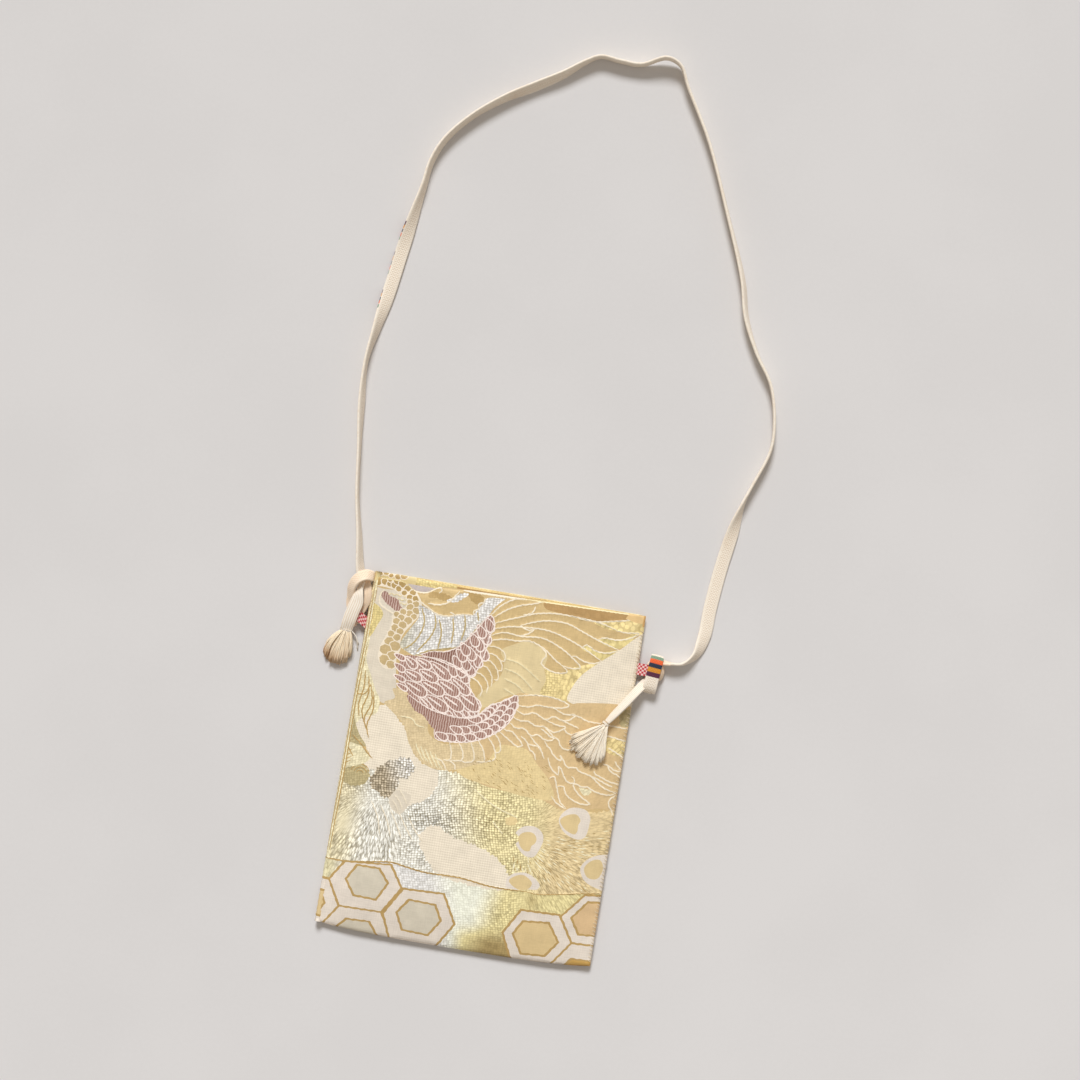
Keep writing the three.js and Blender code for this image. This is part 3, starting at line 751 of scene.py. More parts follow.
def neck_binding(name, centre, axis, radius, material):
    """Threads wound round a tassel's neck."""
    axis = unit(np.array(axis, float))
    side = unit(np.cross(axis, UP))
    up = np.cross(side, axis)
    angle = np.linspace(0, 2 * math.pi * BINDING_TURNS, 24 * BINDING_TURNS)
    along = np.linspace(-BINDING_REACH, BINDING_REACH, len(angle))
    line = (np.array(centre) + np.outer(np.cos(angle) * radius[0], side)
            + np.outer(np.sin(angle) * radius[1], up) + np.outer(along, axis))
    return thread_tubes(name, [line], BINDING_RADIUS, CREAM * 0.95, material)


def stray_threads(name, lines, material):
    """A few threads that have worked loose."""
    fine = [spline(line, 0.1) for line in lines]
    picked = [line[np.linspace(0, len(line) - 1, THREAD_STEPS).astype(int)] for line in fine]
    return thread_tubes(name, picked, STRAY_RADIUS, STRAY_LIT_CREAM, material)


def left_tint(t, share):
    browned = smoothstep(0.55, 1.0, t) * (1 - 0.85 * share)
    return HONEY * (1 - browned) + BROWN * browned


def right_tint(t, share):
    tanned = 0.5 * smoothstep(0.75, 0.2, share) * smoothstep(0.2, 0.9, t)
    return PALE * (1 - tanned) + HONEY * tanned


def add_tassels(material):
    left = [tassel("left_tassel_threads", (-127.9, 96, 5.8), LEFT_RIM, left_tint, material, seed=4,
                   rise=5.0, breadth=6, clumps=46, threads=10, fineness=0.36, bulge=6.0),
            tassel_core("left_tassel_core", (-127.9, 96, 5.2), (-130.4, 79, 2.4), [8, 13, 14], HONEY,
                        material),
            stray_threads("left_tassel_strays", LEFT_STRAYS, material),
            neck_binding("left_tassel_binding", (-127.9, 96, 5.9), (-0.12, -1, -0.4), (4.9, 2.3),
                         material)]
    right = [tassel("right_tassel_threads", (93.6, 55, 15), RIGHT_RIM, right_tint, material, seed=9,
                    rise=3.2, breadth=3, clumps=38, threads=18, fineness=0.3),
             # Its darker tan core is painted shade between the clumps
             tassel_core("right_tassel_core", (93.6, 55, 14.9), (86.5, 39, 14.2), [6, 10, 15], TAN_CORE_SHADE,
                         material),
             neck_binding("right_tassel_binding", (93.9, 55.6, 15.2), (-0.5, -0.85, 0), (2.9, 1.9),
                          material)]
    for node, pieces in (("left_tassel", left), ("right_tassel", right)):
        for piece in pieces:
            stand_for(node)
    return left + right


# Woven design
FIELD_STEP = 2.0
ROUGH_STEP = 1.4
THREAD_STEP = 1.8
THREAD_WAVER = 0.2
CLOTH_PITCH = 3.0
THREAD_RISE = 0.28              # how far an outline thread stands above its field


class Look:
    """What a field is woven from: a colour and shares of each weave, or functions of place for them."""

    def __init__(self, color, foil=0.3, crackle=0.0, dots=0.0, lines=0.0):
        self.color = rgb(color) if isinstance(color, str) else color
        self.weave = (foil, crackle, dots, lines)

    def colors(self, x, y):
        return self.color(x, y) if callable(self.color) else np.broadcast_to(self.color, (len(x), 3))

    def weaves(self, x, y):
        columns = [share(x, y) if callable(share) else np.full(len(x), share) for share in self.weave]
        return np.stack(columns, axis=1)


def inside(points, ring):
    """Which flat points lie in a ring, by counting crossings."""
    x, y = points[:, :1], points[:, 1:]
    (ax, ay), (bx, by) = ring.T, np.roll(ring, -1, axis=0).T
    crosses = (ay > y) != (by > y)
    at = ax + (y - ay) * (bx - ax) / np.where(ay == by, 1, by - ay)
    return np.count_nonzero(crosses & (at > x), axis=1) % 2 == 1


def turned(centre, x, y, turn):
    """Flat points, turned about their middle and moved to a centre."""
    c, s = math.cos(turn), math.sin(turn)
    return np.stack([centre[0] + c * x - s * y, centre[1] + s * x + c * y], -1)


class Design:
    """Fields and outline threads in flat cloth millimetres. Later ones lie over earlier ones."""

    def __init__(self, outline, ground):
        self.points = []
        self.edges = []
        self.rings = []
        self.ridges = set()
        self.threads = set()
        self.polygon(outline, ground)

    def draw(self, line, closed):
        start = len(self.points)
        self.points.extend(map(tuple, line))
        self.edges.extend((i, i + 1) for i in range(start, len(self.points) - 1))
        if closed:
            self.edges.append((len(self.points) - 1, start))

    def polygon(self, ring, look):
        ring = np.asarray(ring, float)
        self.draw(ring, True)
        self.rings.append((ring, look))

    def field(self, points, look, rough=0.0):
        """A field with a smooth outline, or one that wavers by rough."""
        ring = spline(points, ROUGH_STEP if rough else FIELD_STEP, closed=True)
        way = unit(np.roll(ring, -1, axis=0) - np.roll(ring, 1, axis=0))
        i = np.arange(len(ring))
        waver = rough * (np.sin(2.1 * i) + np.sin(0.83 * i + 1) + np.sin(3.7 * i + 2)) / 2
        self.polygon(ring + np.stack([-way[:, 1], way[:, 0]], -1) * waver[:, None], look)

    def ellipse(self, centre, radii, look, turn, sides):
        angle = np.linspace(0, 2 * math.pi, sides, endpoint=False)
        self.polygon(turned(centre, radii[0] * np.cos(angle), radii[1] * np.sin(angle), turn), look)

    def thread(self, points, width, look):
        """An outline thread, raised along its middle, that thins out at its ends."""
        line = spline(points, THREAD_STEP)
        way = unit(np.gradient(line, axis=0))
        normal = np.stack([-way[:, 1], way[:, 0]], -1)
        line = line + normal * (THREAD_WAVER * np.sin(2.3 * np.arange(len(line)) + line[0, 0]))[:, None]
        share = np.linspace(0, 1, len(line))
        half = width / 2 * (0.45 + 0.55 * np.minimum(1, 8 * np.minimum(share, 1 - share)))
        half = (half * (1 + 0.14 * np.sin(2.6 * np.arange(len(line)))))[:, None]
        self.threads.add(len(self.rings))
        self.polygon(np.concatenate([line + normal * half, (line - normal * half)[::-1]]), look)
        self.ridges.update(range(len(self.points) + 1, len(self.points) + len(line) - 1))
        self.draw(line, False)

    def dash(self, start, end, width, look):
        """A short flat stitch, broadest at its middle."""
        start, end = np.array(start, float), np.array(end, float)
        way = unit(end - start)
        side = np.array([-way[1], way[0]]) * width / 2
        middle = (start + end) / 2
        self.polygon([start, middle + side, end, middle - side], look)

    def triangles(self):
        """Flat points, triangles, the ring on top of each, and which points an outline thread lifts."""
        outline = self.rings[0][0]
        low, high = outline.min(0), outline.max(0)
        rows = np.arange(low[1], high[1], CLOTH_PITCH * 0.87)
        grid = [(x + CLOTH_PITCH / 2 * (i % 2), y) for i, y in enumerate(rows)
                for x in np.arange(low[0], high[0], CLOTH_PITCH)]
        given = [Vector(p) for p in self.points + grid]
        flat, _, faces, from_points, _, _ = delaunay_2d_cdt(given, self.edges, [], 0, 1e-3)
        flat = np.array([tuple(p) for p in flat])
        triangles = np.array(faces)
        tops = self.tops(flat[triangles].mean(1))
        triangles, tops = triangles[tops >= 0], tops[tops >= 0]
        ridge = np.array([any(p in self.ridges for p in origin) for origin in from_points])
        lifted = np.zeros(len(flat), bool)
        lifted[triangles[np.isin(tops, list(self.threads))].ravel()] = True
        return flat, triangles, tops, ridge & lifted

    def tops(self, points):
        """The last ring over each point, or -1 outside the cloth."""
        tops = np.full(len(points), -1)
        for i, (ring, _) in enumerate(self.rings):
            near = np.all((points >= ring.min(0)) & (points <= ring.max(0)), axis=1)
            near &= (tops >= 0) | (i == 0)
            places = np.flatnonzero(near)
            tops[places[inside(points[places], ring)]] = i
        return tops


# Cloth shapes over flat cloth points
def half_width(v):
    return (BAG_WIDTH - MOUTH_NARROWING * (v + 1) / 2) / 2


def bottom_edge(u):
    return -HALF_HEIGHT + CORNER_RISE * np.clip(u, -1, 1) ** 4


def mouth_edge(u, drop):
    """Height of a mouth edge. The front's, which drops to the left, also sags near the left corner."""
    u = np.clip(u, -1, 1)
    sag = MOUTH_SAG * np.exp(-np.abs((u - SAG_PLACE) / SAG_REACH) ** 3) if drop else 0
    return HALF_HEIGHT - drop * (1 - u) / 2 - sag


def bag_place(x, y, drop):
    """Shares across and along the bag, each from -1 to 1."""
    v = y / HALF_HEIGHT
    for _ in range(4):
        u = x / half_width(np.clip(v, -1, 1))
        low, high = bottom_edge(u), mouth_edge(u, drop)
        v = 2 * (y - low) / (high - low) - 1
    return np.clip(u, -1, 1), np.clip(v, -1, 1)


def puff(u, v):
    side = 1 - np.abs(u) ** SIDE_FULLNESS
    foot = 1 - ((1 - v) / 2) ** BOTTOM_FULLNESS
    mouth = 1 - MOUTH_CLOSING * ((1 + v) / 2) ** MOUTH_FULLNESS
    return side * foot * mouth


# Dents pressed into the front: x, y, reach across, reach along, depth
DENTS = [(-74, 139, 17, 5, 1.5), (-98, 128, 10, 14, 0.6), (84, 128, 24, 9, 0.7), (60, -118, 30, 24, 0.5),
         (-70, 20, 26, 40, 0.4)]


def wrinkles(x, y, u, v):
    """Soft unevenness of the front: broad waves, puckers along the seams and a few dents."""
    full = puff(u, v)
    edge = half_width(v) * (1 - np.abs(u))
    waves = 0.3 * np.sin(x / 19 + 1.3 * np.sin(y / 37)) * np.sin(y / 27 + 0.8)
    pucker = 0.32 * np.exp(-edge / 8) * np.sin(y / 2.3 + 1.6 * np.sin(y / 13))
    mouth = 0.35 * np.exp(-(1 - v) * HALF_HEIGHT / 9) * np.sin(x / 8.5 + 1.2 * np.sin(x / 31))
    dents = sum(depth * np.exp(-((x - cx) / across) ** 2 - ((y - cy) / along) ** 2)
                for cx, cy, across, along, depth in DENTS)
    return full * (waves + mouth - dents) + pucker


def front_height(x, y, u, v):
    waves = sum(share * np.sin(across * u + along * v + phase)
                for share, across, along, phase in RIPPLE_WAVES)
    rise = (BAG_DEPTH - EDGE_TOP) * puff(u, v) + RIPPLE * puff(u, v) * (waves - 1)
    return EDGE_TOP + rise + wrinkles(x, y, u, v)


def turn_under(distance, radius, slope):
    """How far out and down cloth goes round a turn, by the distance along it."""
    angle = slope + distance / radius
    return radius * (np.sin(angle) - math.sin(slope)), radius * (math.cos(slope) - np.cos(angle))


def fold(distance):
    """Out, down and back in along a hem."""
    arc = np.minimum(distance, math.pi * FOLD_RADIUS)
    out, down = turn_under(arc, FOLD_RADIUS, 0)
    return out, down, np.maximum(0, distance - math.pi * FOLD_RADIUS)


def past_edges(x, y, drop, left_seam):
    """How far flat points lie past the mouth, the foot, the right seam and the left one."""
    u, v = bag_place(x, y, drop)
    past = (y - mouth_edge(u, drop), bottom_edge(u) - y, x - half_width(v), left_seam - half_width(v) - x)
    return [np.maximum(0, distance) for distance in past]


def front_surface(x, y):
    """Points of the front's outer face. Past the edges the cloth turns under, and past the mouth in."""
    above, below, right, left = past_edges(x, y, FRONT_DROP, SEAM_ROLL)
    out, down, back_in = fold(above)
    base = y - above - back_in
    z = front_height(x, base, *bag_place(x, base, FRONT_DROP)) - down
    foot_out, foot_down = turn_under(below, TURN_RADIUS, TURN_SLOPE)
    right_out, right_down = turn_under(right, TURN_RADIUS, TURN_SLOPE)
    left_out, left_down = turn_under(left, TURN_RADIUS, 0)
    return np.stack([x - right + right_out + left - left_out, base + below - foot_out + out,
                     z - foot_down - right_down - left_down], -1)


def back_surface(x, y):
    """Points of the back's outer face. It rolls up to the front along the left seam."""
    above, below, right, left = past_edges(x, y, 0, 0)
    out, rise, back_in = fold(above)
    base = y - above - back_in
    lifted = np.maximum(0, 1 - puff(*bag_place(x, base, 0)) / FLAT_BACK)
    z = BACK_CLEARANCE + EDGE_BOTTOM * lifted ** 2 + back_waves(x) * (above > 0)
    foot_out, foot_rise = turn_under(below, TURN_RADIUS, TURN_SLOPE)
    right_out, right_rise = turn_under(right, TURN_RADIUS, ROLL_SLOPE)
    left_out, left_rise = turn_under(np.minimum(left, ROLL_LENGTH), ROLL_RADIUS, ROLL_SLOPE)
    flat = np.clip(left - ROLL_LENGTH, 0, ROLL_FLAT)
    tuck_out, tuck_down = turn_under(np.maximum(0, left - ROLL_LENGTH - ROLL_FLAT), TURN_RADIUS, 0)
    return np.stack([x - right + right_out + left - left_out + flat + tuck_out,
                     base + below - foot_out + out,
                     z + rise + foot_rise + right_rise + left_rise - tuck_down], -1)


def back_waves(x):
    """The back's mouth edge is not quite straight."""
    return 0.25 * np.sin(x / 13) + 0.2 * np.sin(x / 29 + 1)


OUTLINE_STEP = 2.0
OUTLINE_POINTS = 115            # along the mouth and along the foot


def panel_outline(drop, left_reach):
    """Outline of a panel's flat cloth with its turnings, counter-clockwise from the bottom left."""
    top = math.pi * FOLD_RADIUS + HEM_DEPTH
    v = np.arange(-1, 1.0001, OUTLINE_STEP / HALF_HEIGHT)
    v[-1] = 1
    right_x = half_width(v) + TURN_LENGTH
    left_x = -half_width(v) - left_reach
    u = np.linspace(-1, 1, OUTLINE_POINTS)
    foot = np.stack([np.interp(u, [-1, 1], [left_x[0], right_x[0]]), bottom_edge(u) - TURN_LENGTH], -1)
    head_x = np.interp(u, [-1, 1], [left_x[-1], right_x[-1]])
    hemmed = np.abs(head_x) < half_width(1) - HEM_INSET
    head = np.stack([head_x, mouth_edge(head_x / half_width(1), drop) + np.where(hemmed, top, HEM_LIP)],
                    -1)
    rise = (v + 1) / 2
    right = np.stack([right_x, foot[-1, 1] + (head[-1, 1] - foot[-1, 1]) * rise], -1)
    left = np.stack([left_x, foot[0, 1] + (head[0, 1] - foot[0, 1]) * rise], -1)
    return np.concatenate([foot[:-1], right[:-1], head[:0:-1], left[:0:-1]])


def cloth_piece(name, design, surface, outward, material):
    """Lays a flat design over a surface. outward is 1 where the outer face looks up, else -1."""
    flat, triangles, tops, ridge = design.triangles()
    x, y = flat.T
    points = surface(x, y)
    nudge = 0.05
    normal = unit(np.cross(surface(x + nudge, y) - points, surface(x, y + nudge) - points)) * outward
    points = points + normal * (ridge * THREAD_RISE)[:, None]
    corners = triangles[:, ::outward]
    piece = add_mesh(name, points, corners.tolist(), material)
    colors = np.ones((len(corners), 3, 4))
    weaves = np.zeros((len(corners), 3, 4))
    for ring in np.unique(tops):
        look = design.rings[ring][1]
        chosen = tops == ring
        where = corners[chosen].ravel()
        colors[chosen, :, :3] = look.colors(x[where], y[where]).reshape(-1, 3, 3)
        weaves[chosen] = look.weaves(x[where], y[where]).reshape(-1, 3, 4)
    set_attribute(piece, "thread_color", "FLOAT_COLOR", "CORNER", colors)
    set_attribute(piece, "weave", "FLOAT_COLOR", "CORNER", weaves)
    set_attribute(piece, "grain", "FLOAT_VECTOR", "POINT", np.stack([*grain(x, y), 0 * x], -1))
    set_attribute(piece, "sweep", "FLOAT_VECTOR", "POINT", np.stack(sweep(x, y), -1))
    return piece


def grain(x, y):
    """Places along and across the rows of woven dots in the metal mist, which waver a little."""
    c, s = math.cos(PHOTO_TURN), math.sin(PHOTO_TURN)
    along, across = x * c + y * s, y * c - x * s
    return along + 1.5 * np.sin(across / 9 + along / 23), across + 1.5 * np.sin(along / 11)


LEFT_FAN = (-72, -14)
RIGHT_FAN = (36, -46)
FAN_RADIUS = 45                 # where the strokes of a fan have their true breadth


def sweep(x, y):
    """Places along and across the mist's long strokes, which fan out from two points, and their share."""
    left_x, left_y = x - LEFT_FAN[0], y - LEFT_FAN[1]
    right_x, right_y = x - RIGHT_FAN[0], y - RIGHT_FAN[1]
    on_left = x < (LEFT_FAN[0] + RIGHT_FAN[0]) / 2
    along = np.where(on_left, np.hypot(left_x, left_y), np.hypot(right_x, right_y))
    angle = np.where(on_left, np.arctan2(left_x, -left_y), np.arctan2(right_y, right_x))
    share = smoothstep(-46, -66, x) * smoothstep(-30, -46, y) + smoothstep(44, 62, x)
    return along, angle * FAN_RADIUS, share


# Looks of the brocade's fields
GOLD = Look("#DBBE87", 0.45, 0.06)
LOWER_GOLD = Look("#E4C693", 0.45, 0.08)
PALE_GOLD = Look("#EAD3A6", 0.4, 0.2)
SMOOTH_GOLD = Look("#F2DAA2", 0.35, 0.14)
DEEP_GOLD = Look("#C49E66", 0.45, 0.1)
BRIGHT_GOLD = Look("#FFE8A6", 0.6, 0.45)
CHAMPAGNE = Look("#E8D3A2", 0.4)
FINE_LINE = Look("#EADDB4", 0.2)
YELLOW = Look("#F2DE9A", 0.55, 0.3)
CREAM_DOTS = Look("#F4E7D0", 0.0, 0.0, 1.0)
CREAM_PLAIN = Look("#E5D9C4", 0.0, 0.0, 0.3)
OUTLINE = Look("#F9EBD0", 0.1)
PINK = Look("#FFEFE4", 0.05)
MAUVE = Look("#A67B6C", 0.15, 0.0, 0.0, 1.0)
MAUVE_STRIPES = Look("#8C604F", 0.15, 0.0, 0.0, 0.9)
BORDER_STRIPES = Look("#9E7364", 0.15, 0.0, 0.0, 1.0)
TAN_LINE = Look("#C2A063", 0.4)
QUILL = Look("#C9B27C", 0.4)
OLIVE = Look("#C9B98A", 0.5, 0.3)
PALE_STREAKS = Look("#FBF0C8", 0.5, 0.3)
AMBER = Look("#DDB070", 0.4)
HEM_AMBER = Look("#EECB90", 0.4)
HEX_RING = Look("#EBDFD0", 0.05, 0.0, 0.3)
HEX_GREY = Look("#DCD2BD", 0.2)
HEX_GOLD = Look("#E5CA95", 0.25)
HEX_AMBER = Look("#E2C192", 0.25)
CORNER_GOLD = Look("#D2A85C", 0.4)
SPOT_GOLD = Look("#E6CD98", 0.3)
SCALE_GOLD = Look("#D2B886", 0.4, 0.1)
SCALE_DARK = Look("#C0A064", 0.4, 0.1)
SHADED_ABOVE = 127              # y above which the small scales are dark
SCALE_GROUND = Look("#F8EAD2", 0.1)
PALE_SCALES = Look("#E8D49C", 0.3)
SHADED_GOLD = Look("#C4A46A", 0.4, 0.1)
HEM_GOLD = Look("#E3C684", 0.5, 0.2)
# Painted highlight along the top of the folded mouth edges
HEM_HIGHLIGHT = Look("#FBEBBB", 0.4)
# Painted shade inside the pocket's mouth
LILAC_SHADE = Look("#D3C9C6", 0.2)
BARBS = Look("#F7EBC4", 0.3)
STREAK = Look("#FFF6D2", 0.4)
HATCH = Look("#B99B62", 0.3)


def blob(x, y, cx, cy, across, along):
    return np.exp(-((x - cx) / across) ** 2 - ((y - cy) / along) ** 2)


def blend(colors, share):
    """A colour between the given ones, by a share from 0 to their count less one."""
    stops = np.stack([rgb(code) for code in colors])
    position = np.clip(share, 0, len(colors) - 1.001)
    low = np.floor(position).astype(int)
    part = (position - low)[:, None]
    return stops[low] * (1 - part) + stops[low + 1] * part


# Patches of the mist and of the foot: strength, middle, reach across and along
DARKEST = (-32, -44, 25, 10)
DARK_MIST = [(0.4, *DARKEST), (0.2, -58, -76, 24, 9), (0.2, 12, -42, 22, 14), (0.08, -82, -64, 20, 20)]
SMOOTH_MIST = [(0.5, -104, -58, 10, 9), (0.2, 92, -18, 40, 20), (0.15, -42, -12, 9, 9)]
FOOT_PATCHES = [(0.2, 34, -112, 14, 12), (-0.2, 6, -108, 18, 16), (-0.2, 30, -142, 26, 8)]


def patches(x, y, places):
    return sum(strength * blob(x, y, *place) for strength, *place in places)


def haze_color(x, y):
    """Silver mist that turns to gold towards the right, and to yellow at the left edge."""
    drift = x + 0.25 * (y + 50)
    share = 1 - smoothstep(-82, -106, x) + smoothstep(-36, 22, drift) + smoothstep(40, 74, x)
    shade = 1 - 0.09 * blob(x, y, *DARKEST)
    return blend(("#F4E8C3", "#FFFCF0", "#FFF0B8", "#F1D9A6"), share) * shade[:, None]


def haze_crackle(x, y):
    """How broken the mist's threads look: most in its dark patches, least in its smooth ones."""
    broken = 0.62 + patches(x, y, DARK_MIST) - patches(x, y, SMOOTH_MIST) - 0.18 * smoothstep(46, 76, x)
    return np.clip(broken + 0.12 * np.sin(x / 7 + y / 11) * np.sin(y / 6 - x / 17), 0, 1)


def foot_color(x, y):
    """Yellow that turns through silver and white to gold towards the right, darker along the bottom."""
    share = smoothstep(-110, -92, x) + smoothstep(-26, 4, x + 0.3 * (y + 110))
    share = share + smoothstep(8, 34, x - 0.2 * (y + 120)) + 0.6 * blob(x, y, 59, -97, 5, 7)
    share = share + smoothstep(-121, -139, y) * smoothstep(-12, 10, x)
    return blend(("#EEE4BA", "#F6F3EE", "#FFFFEC", "#F6E7AA", "#B59D66"), share)


def foot_crackle(x, y):
    return np.clip(0.38 + patches(x, y, FOOT_PATCHES), 0, 1)


def silver_color(x, y):
    return blend(("#DCD6BE", "#F4F1EC"), smoothstep(-84, -66, x) + 0 * y)


def cloud_color(x, y):
    return blend(("#CFBFA3", "#FCF8F0"), smoothstep(-80, -52, x + 0.5 * (y + 16)))


DOTTED_CLOUD = Look(cloud_color, 0.5, 0.9)
HAZE = Look(haze_color, 0.42, haze_crackle)
FOOT = Look(foot_color, 0.2, foot_crackle)
SILVER = Look(silver_color, 0.55, 0.5)


FOOT_LINE = [(-124, -90.5), (-115, -90.4), (-97.5, -90.3), (-80.9, -87.9), (-59.7, -84.8), (-49, -86.2),
             (-32.5, -88.3), (-2.9, -88.1), (22.5, -90.9), (37.2, -91), (52.3, -90.1), (60.7, -90.9),
             (79.3, -88.1), (97.8, -84.7)]
CLOUD_LINES = [[(-62.8, -25.1), (-58.5, -30.3), (-55.1, -35.7)],
               [(-66.2, -29.9), (-61.1, -35), (-58.1, -40.4)],
               [(-67.2, -34.3), (-62.9, -39.5), (-61, -43.4)]]
STREAKS = 230                   # stitches of the mist's right fan
FAN_BOTTOM = -86
HATCHES = 90                    # dark stitches in the smooth gold


def weave_haze(d):
    """Mist of metal thread across the lower half, with cream gaps and a dark cloud."""
    d.field([(-124, -6), (-86, -3), (-34, -3), (-12, -5), (8, -9), (30, -12), (52, -14), (74, -20),
             (100, -17), (124, -12), (124, -92), (-124, -92)], HAZE, 1.2)
    d.polygon(FOOT_LINE + [(124, -82), (124, -152), (-124, -152)], FOOT)
    d.field([(-110, 25), (-98, 33), (-87, 41), (-74, 32), (-65, 22), (-58, 8), (-48, -1), (-36, -4),
             (-33, -15), (-40, -29), (-55, -38), (-62, -45), (-71, -33), (-64, -20), (-84, -14),
             (-96, -10), (-92, -2), (-103, 13)], CREAM_DOTS, 0.8)
    d.field([(-60, 1), (-54, -4), (-57, -14), (-64, -17), (-66, -27), (-72, -34), (-79, -31), (-88, -24),
             (-84, -12), (-74, -3)], DOTTED_CLOUD, 1.4)
    d.field([(-41, -60), (-30, -49), (-14, -56), (6, -60), (24, -67), (36, -79), (38, -90), (-18, -89),
             (-30, -80)],
            CREAM_DOTS, 1.2)
    d.field([(-70, -35), (-65, -26), (-53, -29), (-54, -37), (-57, -43), (-61, -45)], CREAM_PLAIN, 0.4)
    for line in CLOUD_LINES:
        d.thread(line, 0.8, OUTLINE)
    d.field([(-114, -20), (-104, -12), (-94, -10), (-89, -20), (-97, -28), (-114, -25)], OLIVE, 0.8)
    for radius in (3, 5.5, 8):
        d.thread(arc((-97, -18), radius, 20, 170), 0.7, TAN_LINE)
    for strand in range(5):
        x = -84 + 8 * strand
        d.thread([(x, -38 - 2 * strand), (x + 7, -50 - 1.5 * strand), (x + 11 + strand, -64)], 0.8,
                 OUTLINE)
    weave_streaks(d)
    d.thread([(-3.7, -14.4), (14.7, -25.3), (35.5, -32)], 0.9, BARBS)
    d.thread([(16.2, -38.4), (25.9, -47)], 0.9, BARBS)
    d.field([(26.4, -34.8), (31.6, -31.4), (35.9, -34.5), (35.2, -37.8), (27, -38.5)], SMOOTH_GOLD, 0.5)


def weave_streaks(d):
    """Short bright and dark stitches that fan out at the right."""
    chance = random.Random(8)
    for _ in range(STREAKS):
        angle, near = math.radians(chance.uniform(-86, 12)), chance.uniform(16, 76)
        far = near + chance.uniform(2.5, 8)
        way = np.array([math.cos(angle), math.sin(angle)])
        look = chance.choice((STREAK, STREAK, HATCH))
        if RIGHT_FAN[1] + far * way[1] > FAN_BOTTOM:
            d.dash(RIGHT_FAN + near * way, RIGHT_FAN + far * way, 0.8, look)


def arc(centre, radius, start, end):
    angle = np.radians(np.linspace(start, end, 7))
    return np.stack([centre[0] + radius * np.cos(angle), centre[1] + radius * np.sin(angle)], -1)


def weave_left_side(d):
    """Cream ground, olive reeds along the edge and the chain of little scales."""
    d.field([(-120, 135), (-104, 134), (-86, 134), (-76, 127), (-74, 112), (-84, 96), (-84, 84),
             (-80, 60), (-78, 46), (-88, 42), (-98, 50), (-106, 66), (-120, 70)], CREAM_PLAIN)
    d.field([(-124, 118), (-108, 121), (-100, 114), (-103, 104), (-109, 92), (-124, 88)], YELLOW)
    d.field([(-124, 96), (-109, 96), (-107, 74), (-101, 62), (-96, 52), (-91, 44), (-92, 33), (-105, 25),
             (-109, 12), (-100, 6), (-91, -4), (-99, -11), (-124, -14)], PALE_STREAKS)
    d.field([(-124, 44), (-111, 40), (-109, 26), (-103, 14), (-96, 5), (-108, 6), (-124, 8)], OLIVE)
    for x, top, sway in ((-110, 92, -1), (-106.5, 66, 1), (-103, 62, 2), (-100, 55, 3), (-97, 50, 2)):
        d.thread([(x, top), (x + sway, top - 14), (x - 1, top - 28), (x + sway, top - 38)], 1.1, TAN_LINE)
    d.thread([(-112, 46), (-104, 47), (-100, 56)], 1.0, TAN_LINE)
    d.thread([(-108, 12), (-100, 6), (-94, 0), (-89, -4)], 1.0, TAN_LINE)
    d.thread([(-111, 3), (-108, -1), (-105, -5)], 0.9, TAN_LINE)
    for row in range(4):
        d.dash((-113, -13 + 3.4 * row), (-105, -7.5 + 3 * row), 0.8, TAN_LINE)
    for column, row in np.ndindex(4, 3):
        d.thread(arc((-98 + 4.6 * column + 2.3 * row, 132.4 - 3.2 * row), 2.1, 200, 340), 0.7,
                 PALE_SCALES)
    d.field([(-104, 131), (-100, 132.2), (-96.6, 129), (-89.8, 127.4), (-87.3, 122.6), (-84.4, 120.4),
             (-89.3, 117.8), (-95.7, 121), (-100.6, 124.1), (-103.5, 127.5)], BORDER_STRIPES, 0.3)
    d.thread([(-102, 133.6), (-104.2, 130), (-105, 125.1), (-103.6, 121), (-98.3, 118), (-91.6, 115.6),
              (-87.6, 117.4), (-81.5, 121.6)], 1.2, OUTLINE)
    d.field([(-120, 145), (-84, 143), (-76, 136), (-70, 127), (-70.5, 117), (-75, 110), (-79, 104),
             (-82, 96), (-81, 88), (-83, 80), (-83, 72), (-91, 70), (-98, 77), (-98, 87), (-95, 96),
             (-92, 105), (-92, 115), (-86, 119), (-82, 123), (-83, 130), (-90, 133.6), (-104, 135.6),
             (-120, 135)], SCALE_GROUND)
    small_scales(d, SMALL_SCALES)


SCALE_SIDES = 7
SCALE_RIM = 0.8


def small_scales(d, scales, shift=0):
    """Gold scales on pale rims."""
    for x, y, radius in scales:
        turn = 0.7 * math.sin(3 * x)
        across, along = 1.38 * radius, 1.2 * radius
        look = SCALE_DARK if y > SHADED_ABOVE else SCALE_GOLD
        d.ellipse((x, y + shift), (across + SCALE_RIM, along + SCALE_RIM), SCALE_GROUND, turn,
                  SCALE_SIDES)
        d.ellipse((x, y + shift), (across, along), look, turn, SCALE_SIDES)


